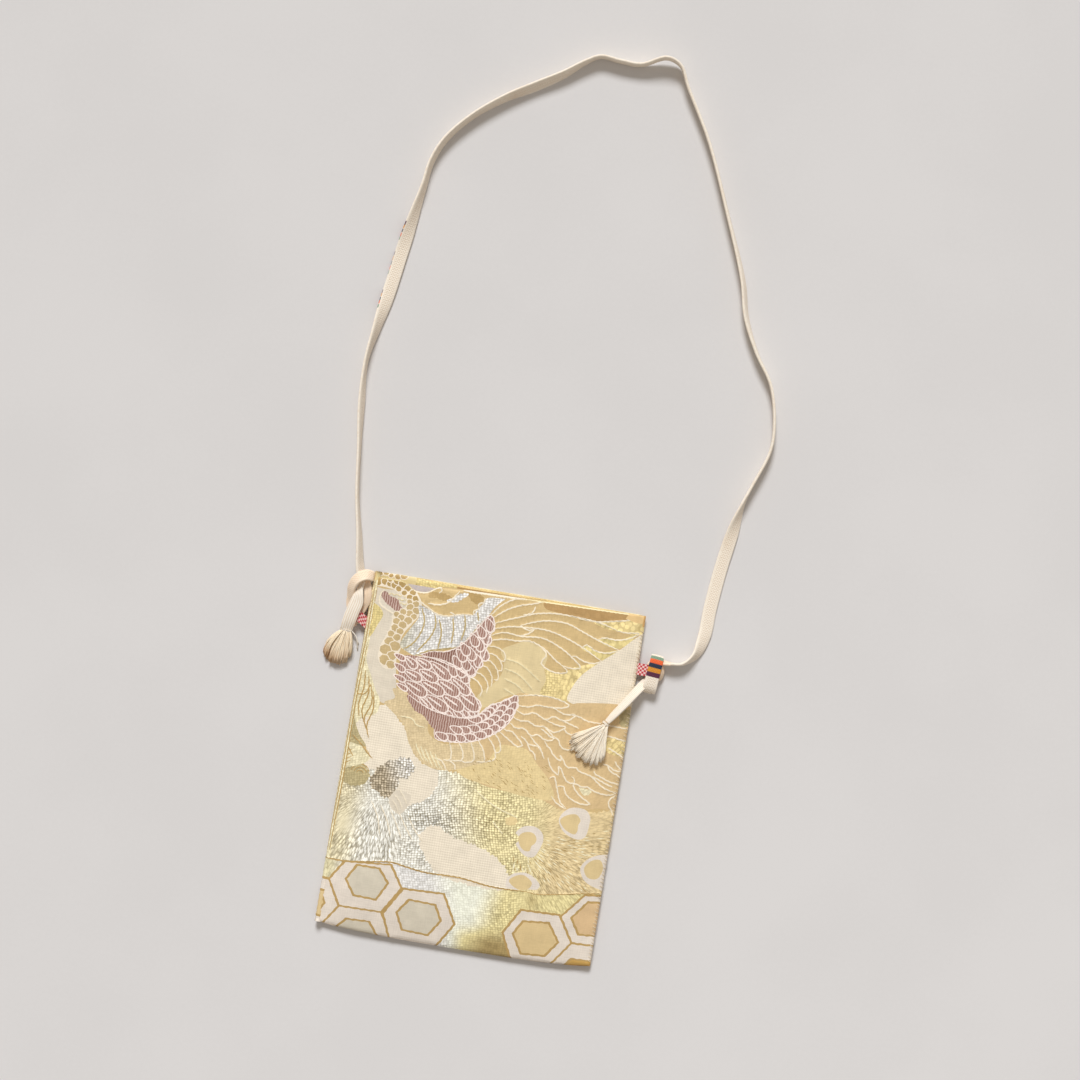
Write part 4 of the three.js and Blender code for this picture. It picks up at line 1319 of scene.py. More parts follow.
# Little gold scales along the mouth and down the neck: x, y, radius
SMALL_SCALES = [(-108.3, 139.4, 3), (-103, 139.8, 2.1), (-98.6, 138.6, 1.8), (-98.9, 142, 1.4),
                (-94.8, 138, 1.9), (-93, 141.8, 2.1), (-88.3, 140.4, 2.4), (-90.7, 135.9, 1.8),
                (-83.5, 137.2, 2.1), (-85.6, 133.4, 1.7), (-78.7, 134.6, 2), (-80.6, 130.6, 1.9),
                (-75.6, 130.2, 2), (-80, 126.8, 1.7), (-74.8, 125.6, 2.2), (-79, 122.6, 2.3),
                (-73.6, 120.4, 2.3), (-78.6, 117.6, 2.2), (-83.9, 118, 2), (-88.8, 115.1, 1.9),
                (-84.6, 113.2, 2.1), (-74.8, 115.4, 2), (-78.8, 111.6, 2.6), (-88, 109.6, 2.3),
                (-82.6, 107.4, 2.5), (-88.4, 104, 2.4), (-83.8, 102, 2.2), (-90.6, 98.6, 2.3),
                (-85.6, 96.6, 2.4), (-91.3, 92.4, 3), (-85.9, 89.4, 3.4), (-93.2, 85.4, 3.6),
                (-87.4, 81, 3.2), (-92.6, 77, 3.4), (-86.8, 74, 2.8)]


# Tan quills of the silver plumage, and outlines of the clouds above it
QUILLS = [
    [(-69.5, 124), (-65.6, 114), (-66.5, 105), (-72, 94), (-79, 88)],
    [(-58, 120.5), (-56, 112), (-58.5, 102), (-68, 87.5)],
    [(-54, 117), (-50.5, 107), (-51, 93)],
    [(-43, 120), (-41, 110), (-41, 99)],
    [(-34, 124), (-32, 114), (-33.5, 103)],
    [(-24, 128), (-22, 121)],
    [(-68.5, 84.8), (-59.2, 89.7), (-45.8, 93.8), (-33.7, 98), (-27, 107), (-21.1, 116.6), (-15.4, 124.8),
     (-8.1, 133.6), (-0.2, 141.4)],
]
CLOUDS = [
    [(-75.4, 134), (-71.6, 129), (-63.8, 124.5), (-56.2, 120.8), (-46.9, 120.6), (-38.6, 123.3),
     (-27.8, 125.1)],
    [(-65.1, 128.3), (-56.4, 128.5), (-48.7, 131.7), (-45.8, 135.3), (-41.1, 142)],
    [(-46.2, 124.2), (-43.8, 123.3), (-41.3, 122.1)],
    [(-27, 125), (-27, 128.3), (-23.5, 130.6), (-24, 134.6), (-20.3, 136.4), (-19.7, 140)],
    [(-59, 143), (-55.4, 140.6), (-57.6, 138)],
]


def weave_crest(d):
    """Silver plumage with tan quills, and the clouds above it."""
    d.field([(-72, 125.5), (-63, 123.4), (-55, 120), (-45.7, 120.4), (-36, 123.7), (-27.5, 124.8),
             (-24.5, 130.4), (-20.3, 135.8), (-18.5, 140), (-8, 142), (-1.3, 141.5), (-8, 133),
             (-15.4, 124.4), (-27, 106.7), (-33.7, 97.4), (-46, 93.6), (-58, 89.8), (-67.7, 84.7),
             (-76, 86.8), (-82, 91), (-76.3, 105), (-70.6, 116.3)], SILVER)
    d.field([(-66, 137), (-58, 138.6), (-47, 136.4), (-50, 132.6), (-57.2, 133.4), (-65, 133.4)],
            SHADED_GOLD, 0.6)
    d.field([(-50, 133), (-43, 138), (-37, 141.8), (-33.5, 140.6), (-38.9, 135.6), (-44.2, 132.2)],
            SILVER, 0.5)
    d.field([(-34, 142), (-22, 141), (-20, 137), (-27, 134)], SHADED_GOLD, 0.6)
    for quill in QUILLS:
        d.thread(quill, 1.3, QUILL)
    for cloud in CLOUDS:
        d.thread(cloud, 1.2, OUTLINE)


FEATHER_RIM = 2.4
FEATHER_SIDES = 14
BAND_FEATHER = (13.4, 10.4)
CRESCENT_FEATHER = (12.4, 9.2)
CRESCENT_ROW = [(-36.4, 23.6), (-22, 24.5), (-6, 29.5), (8, 40.5), (16.5, 56)]
FIRST_SCALES = (0, 1, 4)        # where each row of the crescent's scales starts
ROW_PITCH = 6.6
SCALE_PITCH = 8.4


def scale(d, centre, size, turn, look):
    """One scale feather, a teardrop with its point against the lie of the plumage."""
    angle = np.linspace(0, 2 * math.pi, FEATHER_SIDES, endpoint=False)
    x = size[0] / 2 * np.cos(angle)
    y = size[1] / 2 * np.sin(angle) * (0.72 + 0.28 * np.cos(angle))
    d.polygon(turned(centre, x, y, turn), look)


def feather(d, centre, size, turn, quill=False):
    """A mauve scale feather with its pale outline, and a pale quill if it is a large one."""
    centre = np.array(centre)
    scale(d, centre, size, turn, PINK)
    scale(d, centre, (size[0] - FEATHER_RIM, size[1] - FEATHER_RIM), turn, MAUVE)
    if quill:
        way = np.array([math.cos(turn), math.sin(turn)]) * size[0]
        d.thread([centre - way * 0.36, centre - way * 0.05, centre + way * 0.22], 1.3, PINK)


# Feathers of the body: root, tip, breadth
BODY_FEATHERS = [(-85.2, 83.1, -75.8, 79.9, 6), (-76, 82.2, -65.7, 74.9, 8.5),
                 (-66.9, 82.3, -54.1, 76.8, 8), (-54.9, 81.5, -37.3, 70.6, 9.9),
                 (-84, 75.6, -74.7, 70.5, 6.6), (-74.9, 71.4, -60.3, 65.7, 8.9),
                 (-62.6, 73.5, -47.3, 67.5, 9.9), (-82.9, 66.3, -73, 62.7, 5.6),
                 (-73.2, 62.6, -54.6, 54.3, 10.8), (-59.7, 64.9, -40.6, 57.6, 10.8),
                 (-46.3, 67.6, -28.5, 59.1, 11.3), (-36.5, 71.6, -20, 61, 9.4),
                 (-79.4, 59.7, -70.1, 55.5, 5.2), (-60, 52.4, -48, 43, 7.1),
                 (-54.1, 53.9, -35.6, 44.6, 10.8), (-40.6, 56.2, -23, 47.7, 11.3),
                 (-27.8, 59.7, -9.8, 50.3, 13.2), (-37.4, 45.3, -30.3, 40.2, 5.2),
                 (-30.2, 45.5, -21.9, 41.2, 5.2), (-23, 47.7, -17.3, 42.4, 5.2),
                 (-18, 46.6, -12.4, 44.2, 4.7)]
# Feathers of the band: middle, turn in degrees
BAND_FEATHERS = [(-36.4, 78.1, -50), (-26.2, 74.1, -50), (-30.1, 78.5, -50), (-22.1, 80.5, -55),
                 (-33.7, 84.9, -50), (-26.7, 84.8, -55), (-17.5, 88.9, -60), (-31.5, 91, -45),
                 (-23.7, 93.6, -60), (-12.9, 95.4, -70), (-29.3, 96.5, -50), (-18.1, 102.2, -65),
                 (-23.1, 105.1, -55), (-13.2, 108.7, -70), (-18.7, 112.9, -55), (-12.7, 119, -60)]
BODY_HEM = [(-37.3, 41.5), (-47.9, 43.2), (-58.9, 47.5), (-68.4, 52.2)]    # the body's lower edge


def weave_crescent(d, ring):
    """Rows of scale feathers in brick order, from the upper row down, where they lie in the ring."""
    line = spline(CRESCENT_ROW, SCALE_PITCH)
    normal = unit(np.stack([-np.gradient(line[:, 1]), np.gradient(line[:, 0])], -1))
    along = np.stack([normal[:, 1], -normal[:, 0]], -1)
    for row in reversed(range(len(FIRST_SCALES))):
        centres = line + normal * ROW_PITCH * row + SCALE_PITCH / 2 * (row % 2) * along
        for i in reversed(range(FIRST_SCALES[row], len(line))):
            if inside(centres[i:i + 1], ring)[0]:
                turn = math.atan2(-normal[i, 0], normal[i, 1]) - 0.35
                feather(d, centres[i], CRESCENT_FEATHER, turn)


def weave_body(d):
    """Mauve feathers of the body and of the band along the upper wing, and the lower wing's crescent."""
    body = [(-66, 84.5), (-50, 85), (-36, 82), (-24, 76), (-20, 66), (-13, 57), (-9.6, 51), (-11, 44),
            (-22, 41), (-34, 40), (-52, 39), (-58, 41), (-64, 47), (-70, 54), (-76.5, 58), (-79, 66),
            (-80, 77), (-77, 83)]
    band = [(-64, 86), (-56, 90), (-44, 92), (-33, 99), (-24, 111), (-13, 127), (-8.5, 120), (-11, 110),
            (-12, 100), (-14, 90), (-20, 76), (-34, 80), (-50, 84)]
    crescent = [(-50, 38), (-46.4, 31), (-43.4, 28), (-41, 20.8), (-28, 20), (-12, 23), (4, 31), (15, 42),
                (20, 55), (19, 66), (9, 60), (-3, 53), (-12, 43), (-30, 40)]
    for ring in (body, band, crescent):
        d.field(ring, MAUVE)
    d.field([(-62.1, 85), (-55.7, 89.2), (-46.4, 91.2), (-35.7, 95.6), (-33.3, 92.2), (-33.6, 88.4),
             (-35.6, 83.2), (-34.7, 77.7), (-37.7, 75.6), (-41.7, 79.4), (-48.8, 81.6), (-55.3, 83.2)],
            MAUVE_STRIPES)
    for x, y, tip_x, tip_y, breadth in reversed(BODY_FEATHERS):
        root, tip = np.array((x, y)), np.array((tip_x, tip_y))
        size = (1.14 * np.linalg.norm(tip - root), 1.22 * breadth)
        feather(d, (root + tip) / 2, size, math.atan2(tip_y - y, tip_x - x), quill=breadth > 7)
    for x, y, turn in BAND_FEATHERS:
        feather(d, (x, y), BAND_FEATHER, math.radians(turn))
    d.field([(-70, 52), (-62.5, 41.5), (-52, 36.2), (-47.6, 31), (-43.4, 28.6), (-28, 30), (-14, 35),
             (-4, 43), (2, 54), (-3, 52), (-13, 42.5), (-30, 40.2), *BODY_HEM], BORDER_STRIPES, 0.5)
    weave_crescent(d, spline(crescent, FIELD_STEP, closed=True))
    for line in (body[:9] + BODY_HEM, [*band, band[0]], crescent[2:]):
        d.thread(line, 1.0, PINK)


# Outlines of the upper wing's feathers
UPPER_FEATHERS = [
    [(-13, 127), (-6, 136), (2, 142), (12, 146)],
    [(-10, 126), (0, 134), (10, 139), (20, 142), (30, 146)],
    [(-9, 121), (2, 126), (12, 130), (22, 134), (38, 137), (56, 137), (76, 135.5), (90, 132)],
    [(12, 122.6), (22, 127), (34, 130.3), (50, 130.5), (62, 126.5), (76, 121.5), (95, 116)],
    [(-9, 116.5), (4, 120.5), (18, 122), (34, 122.5), (50, 119), (66, 113), (82, 105)],
    [(-10, 111), (0, 115), (14, 114.2), (32, 115.5), (48, 110), (58, 104), (66, 97), (58, 95.2),
     (50, 96.5)],
    [(-12, 106), (0, 109.5), (12, 110), (22, 111.5), (34, 107.5), (46, 99), (53, 95.5)],
    [(12, 122.6), (20, 120), (24, 122)],
    [(13, 114.2), (20, 117.5), (24, 121.5)],
    [(13, 131.5), (20, 134.5), (22, 140)],
    [(64, 113), (68, 116), (76, 112.5), (86, 112.3), (95, 116)],
    [(76, 121.5), (81, 124), (92, 124), (102, 127), (109, 132), (98, 131), (90, 131.5)],
    [(57, 104.5), (60, 105.5), (68, 102.5), (77, 102.3), (84, 106)],
    [(57.9, 136.2), (72.8, 136.1), (82.1, 137.7), (98.4, 141.4), (107.7, 145)],
    [(31, 109), (37, 103), (34, 95.5), (42, 90.5), (52, 90), (56, 92), (51, 96.3)],
]


# Outlines of the short feathers by its root
SCALLOPS = [
    [(-12, 102), (-3, 102), (3.5, 98), (4, 92), (0, 92)],
    [(-11.5, 96.5), (-4, 95.5), (2, 90), (3, 84), (-0.5, 83.5)],
    [(-14, 91), (-7, 90), (0, 83), (1, 76), (-2, 76)],
    [(-18, 85), (-10, 85), (-4, 78), (-3, 70)],
    [(-20, 79.5), (-12, 78), (-6, 71), (-6, 64)],
    [(-23, 74.5), (-16, 73), (-10, 66), (-11, 60)],
]


def weave_upper_wing(d):
    """Long feathers that sweep to the right from the mauve band."""
    d.field([(-14, 127), (2, 146), (30, 152), (124, 152), (124, 136), (98, 120), (82, 104), (64, 94),
             (44, 88), (30, 86), (8, 86), (0, 70), (-20, 62), (-26, 72), (-12, 96), (-10, 116)], GOLD)
    d.field([(0, 100), (10, 107), (22, 111.5), (32, 108), (38, 102), (37, 92), (41, 80), (38, 69),
             (14, 66), (-8, 52), (-13, 60), (-4, 70), (3, 80), (4, 92)], CHAMPAGNE)
    d.field([(37, 71), (40, 82), (38, 92), (46, 90), (54, 91), (60, 96), (70, 100), (80, 104), (88, 107),
             (74, 95), (66, 84), (60, 69), (44, 68)], BRIGHT_GOLD)
    d.field([(64, 113), (68, 116), (78, 112), (94, 115.5), (84, 106), (76, 108.5)], YELLOW)
    d.field([(77, 121), (81, 124), (94, 124.5), (108, 132), (100, 121), (92, 117)], YELLOW)
    d.field([(70, 136), (82, 137.5), (98, 141.2), (112, 146), (112, 132), (92, 131), (76, 133)],
            BRIGHT_GOLD)
    d.field([(28, 144), (60, 146), (108, 148), (98, 141.2), (82, 137.6), (72, 136), (44, 138), (30, 140)],
            DEEP_GOLD)
    d.field([(60, 69), (62, 80), (68, 91), (80, 103), (96, 117), (108, 129), (124, 140), (124, 66),
             (90, 67)], CREAM_DOTS)
    for line in UPPER_FEATHERS:
        d.thread(line, 1.15, OUTLINE)
    for scallop in SCALLOPS:
        d.thread(scallop, 1.0, OUTLINE)
    for k in range(4):
        line = [(4 + k, 94 - 8 * k), (15 + k, 92.5 - 9 * k), (24, 88 - 9.5 * k), (36 - 5 * k,
                                                                                  80 - 7.5 * k)]
        d.thread(line, 0.8, FINE_LINE)


# Outlines of the lower wing's long feathers
LOWER_FEATHERS = [
    [(20, 66), (32, 68.7), (50, 69), (62, 65), (58, 62.4), (44, 61), (36, 61), (30, 58.6), (18, 58.5)],
    [(19, 55), (27, 52), (35, 54.5), (45.3, 50.7), (51.1, 54.1), (57.8, 52.3), (64, 53.3), (68.4, 58.3),
     (60.1, 57.4), (48.8, 61.4)],
    [(57.8, 52.3), (66, 50), (73, 48)],
    [(63.2, 58), (71.8, 57.3), (78.5, 55), (92, 54.5), (113, 53.5)],
    [(18, 48.5), (25, 46.4), (31, 47), (38, 44.3), (44.7, 44.8), (49.9, 42.5), (53.8, 41.5), (62.3, 47.2),
     (55.4, 47.6), (45.4, 50.2)],
    [(60, 46), (66, 42), (74, 43)],
    [(44.7, 44.8), (49.5, 41.4), (54.4, 37.4), (57.8, 36.4), (60.1, 32), (63.7, 29.4), (72, 30)],
    [(42.4, 42.8), (47, 40.4), (51.3, 37.4), (55, 37)],
    [(17, 43.5), (22, 40), (29, 40.5), (35.6, 35.8), (40.6, 37.5), (46.4, 34.5), (52.3, 34.6), (55, 37)],
    [(35.2, 35.2), (40.3, 30.3), (43.9, 27.7), (46.7, 23.4), (49, 19)],
    [(10.8, 38.6), (15.3, 36.7), (19, 36.8), (23.8, 33.3), (29.7, 26.9), (26.3, 25.3), (18.7, 29.3),
     (9.8, 34.7)],
    [(27.4, 34.2), (32.2, 31), (34.2, 28.2), (36.5, 24.3), (40, 22.3), (42.5, 16.8)],
    [(34.1, 29.2), (37.4, 28.2), (42.2, 28.2), (46, 24.3)],
    [(47.1, 33.5), (49.9, 29.7), (52.9, 27.6), (55.1, 24.2), (62.2, 19.6), (63, 21.3), (61, 23.6)],
    [(52, 20.5), (53.8, 16.1), (56.6, 11.8), (62.5, 8), (61.9, 14.8), (65.1, 11.6), (67.4, 7.3)],
    [(61.5, 24.3), (64.4, 20.9), (68.7, 15.4), (76.2, 15.8), (78.5, 13.7), (89.5, 10.8), (94.9, 6.9),
     (100.8, 3.2), (111.8, 0.2)],
    [(91, 15.8), (91.9, 13.6), (97, 11.6), (105.1, 8.7), (113, 7.8)],
    [(90.4, 11), (97, 8.6), (102, 6.6), (108, 5)],
    [(97, 22.6), (102, 21.5), (107.3, 18.6), (113, 18.3)],
    [(101.1, 21.3), (104.6, 17.2), (110.8, 14.8), (113, 13)],
    [(106.5, 26.1), (109.5, 22.3), (113, 20)],
    [(99, 36), (105.3, 33.5), (113, 29.9)],
    [(64.2, 13.7), (67, 8), (71.1, 3.4), (78.4, 2.8), (83.4, 1.2), (87.6, 1.9), (92.3, -0.2),
     (99.2, -1.9), (107.4, -1.9), (111.8, 0.2)],
    [(73.6, 8.6), (76.5, 5.8), (76.3, 1), (82.8, -6.1), (91.8, -11.5), (84.3, -12.5), (73.1, -8.2),
     (70.1, -4.4), (68.5, -0.8), (63, -1.5)],
    [(56, 4), (59.5, 6), (63, -2), (68, -14), (73, -18), (65, -15), (60, -10)],
    [(92, 46), (102, 45), (114, 43)],
    [(111.6, -1.7), (107.5, -5.7), (107.2, -9.6), (109.1, -12.6), (111, -15.2), (112, -18)],
]


# Outlines of the short feathers under the crescent
SHORT_FEATHERS = [
    [(-29, 19.5), (-26.4, 12), (-26.6, 5.5), (-32, 4.5)],
    [(-21.5, 20.5), (-17, 13), (-17, 7), (-26, 5)],
    [(-12, 22.5), (-8, 14), (-7.6, 8), (-14, 5.5), (-18, 6.5)],
    [(-6.5, 25), (-1, 18), (2, 8.5)],
    [(1, 29), (7, 22), (9.5, 12.5), (3, 9), (-5, 7.5)],
    [(5, 34), (11, 27), (12.6, 19), (9, 17)],
    [(-39, 5), (-33, 3.5), (-28, -3)],
    [(-27, 5), (-22, 2), (-21, -2)],
]


def weave_lower_wing(d):
    """Long feathers with wavy edges that fall away to the right of the crescent."""
    d.field([(18, 67), (34, 69), (54, 68.5), (62, 66), (70, 68.5), (124, 67), (124, -12), (100, -14),
             (74, -20), (64, -18), (52, -14), (20, -12), (0, -9), (-10, 0), (-20, 8), (-26, 18), (-8, 24),
             (8, 33), (18, 46)], LOWER_GOLD)
    d.field([(12, 24), (22, 25), (34, 24), (44, 14), (56, 2), (62, -12), (40, -14), (10, -10), (-14, -6),
             (-22, 2), (2, 8)],
            SMOOTH_GOLD)
    d.field([(-82, 55), (-70, 54), (-62, 42), (-51, 38), (-47, 24), (-36, 18), (-22, 19), (-8, 24),
             (2, 9), (-8, 4), (-22, -2), (-38, -4), (-52, 2), (-62, 14), (-68, 27), (-80, 37), (-87, 43),
             (-79, 48)], PALE_GOLD)
    # A bright patch by the right edge: painted glints where the cloth folds
    d.field([(92, 42), (112, 44), (124, 38), (124, 33), (100, 32)], BRIGHT_GOLD)
    for line in LOWER_FEATHERS:
        d.thread(line, 1.15, OUTLINE)
    for line in SHORT_FEATHERS:
        d.thread(line, 1.1, OUTLINE)
    d.field([(81.3, -0.1), (84.5, 0.4), (91.4, -0.8), (90.1, -4.4), (85.4, -4.7)], PALE_STREAKS, 0.4)
    d.field([(104, 67), (113, 69), (113, 56), (107, 55)], OLIVE, 0.5)
    for barb in range(10):
        x, y = -56 + 2.1 * barb, 14 - 0.7 * barb - 2 * (barb % 2)
        d.thread([(x, y), (x + 2.4, y - 5), (x + 6, y - 9 - barb % 3)], 0.9, BARBS)
    d.thread([(-72, 34), (-62, 33), (-58, 29), (-51, 28)], 0.9, BARBS)
    chance = random.Random(5)
    for _ in range(HATCHES):
        x, y = chance.uniform(-8, 52), chance.uniform(-12, 14)
        d.dash((x, y), (x + chance.uniform(1.5, 5), y - chance.uniform(0.3, 3.2)), 0.55, HATCH)


def eye_spot(d, outer, inner):
    d.field(outer, HEX_RING)
    d.field(inner, SPOT_GOLD)


def weave_eye_spots(d):
    eye_spot(d, [(69.3, -28.9), (70.4, -23.6), (75.7, -17.7), (82.4, -15.9), (90.3, -17.1), (94.2, -22.2),
                 (94.5, -27.2), (92.6, -38.4), (88.6, -41.3), (82.1, -40.8), (74.5, -37)],
             [(70.2, -28.1), (74.8, -23.5), (82.7, -21.6), (86.7, -26), (85.4, -30), (85.7, -33.8),
              (84.1, -37.6), (78.9, -36.8), (73.3, -33.3)])
    eye_spot(d, [(36.3, -44.6), (38.8, -40.4), (44, -37.3), (51.6, -37), (57.3, -40.5), (59.4, -45.8),
                 (58.5, -51.7), (53.8, -61.4), (49.4, -62.1), (44.7, -60.4), (37.7, -52.7), (39.8, -50.4),
                 (39.2, -46.7)],
             [(39.2, -46.7), (41.8, -43.4), (47.3, -41.8), (51.3, -42.7), (53.9, -46.8), (53.2, -50.1),
              (50.5, -53.1), (49.9, -57), (46.1, -57.6), (42.6, -55.6), (40, -51.6)])
    eye_spot(d, [(93, -64), (98, -56), (109, -51), (120, -52), (120, -79), (106, -78), (97, -73)],
             [(96, -64), (101, -57), (108, -55.5), (111.5, -62), (108, -71), (100, -71)])
    eye_spot(d, [(35.1, -83), (39.3, -77.8), (47.2, -75.2), (53.7, -76.1), (60.1, -80.1), (62.5, -82.9),
                 (61.2, -86.9), (53.8, -88.1), (44.3, -90), (36.2, -89.2)],
             [(37.2, -83.9), (39.8, -80.3), (46.9, -77.2), (52.2, -78.9), (56.1, -82.7), (54.3, -87.4),
              (46, -89.6)])


HEX_LINE = 2.1                  # breadth of the hexagons' outlines


def plate(d, corners, inner, core):
    """A tortoiseshell plate: outline, pale ring, outline and core, from its two outlines' corners."""
    for ring, look in ((corners, HEX_RING), (inner, core)):
        d.polygon(wavering(grown(ring, HEX_LINE / 2)), TAN_LINE)
        d.polygon(wavering(grown(ring, -HEX_LINE / 2)), look)


def grown(corners, by):
    """The ring with its corners moved away from its middle."""
    corners = np.array(corners, float)
    away = unit(corners - corners.mean(axis=0))
    return [tuple(corner) for corner in corners + away * by]


def wavering(corners):
    """A straight-sided ring whose sides waver a little, as woven outlines do."""
    ring = []
    for i, (a, b) in enumerate(zip(corners, corners[1:] + corners[:1])):
        a, b = np.array(a), np.array(b)
        count = max(2, round(np.linalg.norm(b - a) / 2.6))
        t = np.arange(count)[:, None] / count
        side = unit(np.array([a[1] - b[1], b[0] - a[0]]))
        waver = 0.3 * np.sin(2.4 * np.arange(count) + 1.7 * i) * (t[:, 0] > 0)
        ring.append(a + (b - a) * t + side * waver[:, None])
    return np.concatenate(ring)


def weave_tortoiseshell(d):
    """Band of hexagons along the bottom."""
    d.thread(FOOT_LINE[:-3], 1.3, TAN_LINE)
    d.thread(FOOT_LINE[-4:] + [(112.7, -82.5)], 0.7, TAN_LINE)
    plate(d, [(-97.5, -90.3), (-59.4, -86.7), (-48, -104.2), (-61.2, -126.5), (-96.5, -127.2),
              (-108, -106.9)],
          [(-86.9, -91.5), (-68.4, -91.3), (-59.6, -102.1), (-67.2, -117), (-85.8, -116.5),
           (-94.3, -104.3)], HEX_GREY)
    plate(d, [(-96.5, -127.2), (-61.2, -126.5), (-49.8, -146.4), (-49, -156), (-112, -156),
              (-109.1, -146.2)],
          [(-88.9, -136.8), (-69.7, -136), (-60.5, -148.5), (-60, -156), (-98, -156), (-97.6, -147.1)],
          HEX_GREY)
    plate(d, [(-46.7, -104.4), (-13.1, -103.2), (-0.7, -126.5), (-14, -149), (-51, -149),
              (-59.9, -127.1)],
          [(-40.5, -112.6), (-18.6, -113.3), (-12.2, -125.6), (-20.8, -139.1), (-42.3, -138.3),
           (-49, -124.5)], HEX_GREY)
    plate(d, [(-108, -106.9), (-96.5, -127.2), (-109.1, -146.2), (-114, -154), (-130, -154),
              (-130, -106.9)],
          [(-114, -116.8), (-108.2, -127.1), (-114.5, -137.8), (-130, -138), (-130, -116.8)], HEX_GOLD)
    plate(d, [(50.8, -105.6), (82.7, -104.7), (95.9, -126.1), (81.5, -147), (80, -150), (50, -150),
              (39, -126.7)],
          [(53.9, -114.6), (75.1, -112.4), (85.2, -127.2), (76, -140.2), (56.5, -141.6), (47.5, -125.9)],
          HEX_GOLD)
    plate(d, [(83.6, -105.9), (100.5, -85.2), (130, -83.5), (130, -125.5), (96.6, -126.9)],
          [(92.4, -105.6), (103.9, -90.7), (130, -89.5), (130, -117), (100.3, -118.3)], HEX_AMBER)
    plate(d, [(95.9, -126.1), (130, -125.5), (130, -158), (75, -158), (81.5, -146.9)],
          [(98, -139.1), (130, -138), (130, -160), (82, -160), (91.7, -147.1)], CORNER_GOLD)


# Threads along the front's mouth: from x, to x, width, look. The broad one from -38 and the bright edge
# from 12 are painted highlights where the fold catches the light
MOUTH_LINES = [(-106, -78, 1.0, PALE_SCALES), (-78, -56, 1.4, OUTLINE), (-38, 14, 2.5, OUTLINE),
               (12, 108, 1.3, HEM_HIGHLIGHT)]


def front_design():
    d = Design(panel_outline(FRONT_DROP, TURN_LENGTH - SEAM_ROLL), GOLD)
    weave_haze(d)
    weave_left_side(d)
    weave_crest(d)
    weave_upper_wing(d)
    weave_lower_wing(d)
    weave_body(d)
    weave_eye_spots(d)
    weave_tortoiseshell(d)
    for start, end, width, look in MOUTH_LINES:
        x = np.linspace(start, end, 24)
        d.thread(np.stack([x, mouth_edge(x / half_width(1), FRONT_DROP) + 0.7], -1), width, look)
    d.polygon([(96, 142.5), (104, 140.5), (124, 139.5), (124, 152), (100, 150)], HEM_AMBER)
    d.polygon([(110.5, 138), (124, 138), (124, 152), (110.5, 152)], AMBER)
    return d


def back_design():
    """The plainer stretch of the same brocade: mist, eye-spots and the hexagons running on."""
    d = Design(panel_outline(0, ROLL_LENGTH + ROLL_FLAT + TURN_LENGTH), CHAMPAGNE)
    weave_haze(d)
    weave_eye_spots(d)
    weave_tortoiseshell(d)
    d.polygon([(-126, -90), (-110, -90), (-110, 150), (-126, 150)], PALE_STREAKS)
    for x in (-113.5, -116, -118):
        d.thread([(x, 140), (x - 0.6, 90), (x + 0.5, 40), (x - 0.4, -10), (x, -84)], 0.9, TAN_LINE)
    d.polygon([(-126, 140), (124, 140), (124, 175), (-126, 175)], HEM_GOLD)
    d.polygon([(-126, 140), (-78, 140), (-78, 175), (-126, 175)], PALE_SCALES)
    small_scales(d, SMALL_SCALES[:10], 8)
    d.field([(-78, 150), (-60, 149.4), (-44, 150), (-44, 153), (-78, 153)], YELLOW, 0.5)
    # Painted shadow that the front's mouth edge casts on the inside of the back's hem
    d.polygon([(-44, 150.4), (112, 150.4), (112, 154), (-44, 154)], DEEP_GOLD)
    # Painted shade in the pocket, seen through the sag in the front's mouth
    d.polygon([(-90, 154.4), (-50, 154.4), (-50, 170), (-90, 170)], LILAC_SHADE)
    # Painted highlight along the top of the back's folded mouth edge
    x = np.linspace(-104, 110, 90)
    d.thread(np.stack([x, 147.5 + 0.3 * np.sin(x / 5)], -1), 1.3, HEM_HIGHLIGHT)
    return d


def add_panels(material):
    front = cloth_piece("front_brocade", front_design(), front_surface, 1, material)
    stand_for("front_panel")
    back = cloth_piece("back_brocade", back_design(), back_surface, -1, material)
    stand_for("back_panel")


# Lining
LINING_PUFF = 0.22
LINING_FOOT_PUFF = 0.53
LINING_COLUMNS = 44
LINING_ROWS = 56


def lining_grid(drop):
    """Flat places of a lining half: it stops where the pocket grows too thin for it."""
    foot = 1 - 2 * (1 - LINING_FOOT_PUFF) ** (1 / BOTTOM_FULLNESS)
    head = 1 - (HEM_DEPTH + LINING_GAP) / HALF_HEIGHT
    v = np.linspace(foot, head, LINING_ROWS)[:, None]
    room = puff(np.zeros_like(v), v)
    reach = (1 - LINING_PUFF / room) ** (1 / SIDE_FULLNESS)
    u = np.linspace(-1, 1, LINING_COLUMNS) * reach
    v = np.broadcast_to(v, u.shape)
    y = bottom_edge(u) + (mouth_edge(u, drop) - bottom_edge(u)) * (v + 1) / 2
    return u, v, u * half_width(v), y


def lining_waves(x, y):
    """Loose cloth: shallow folds that run up and down the pocket."""
    return 0.35 * np.sin(x / 7 + 1.4 * np.sin(y / 41)) + 0.2 * np.sin(x / 3.1 + y / 24)


def lining_piece(name, node, drop, height, outward, material):
    u, v, x, y = lining_grid(drop)
    points = np.stack([x, y, height(x, y, u, v)], -1).reshape(-1, 3)
    index = np.arange(u.size).reshape(u.shape)
    quads = np.stack([index[:-1, :-1], index[:-1, 1:], index[1:, 1:], index[1:, :-1]], -1).reshape(-1, 4)
    piece = add_mesh(name, points, quads[:, ::outward].tolist(), material)
    stand_for(node)
    return piece


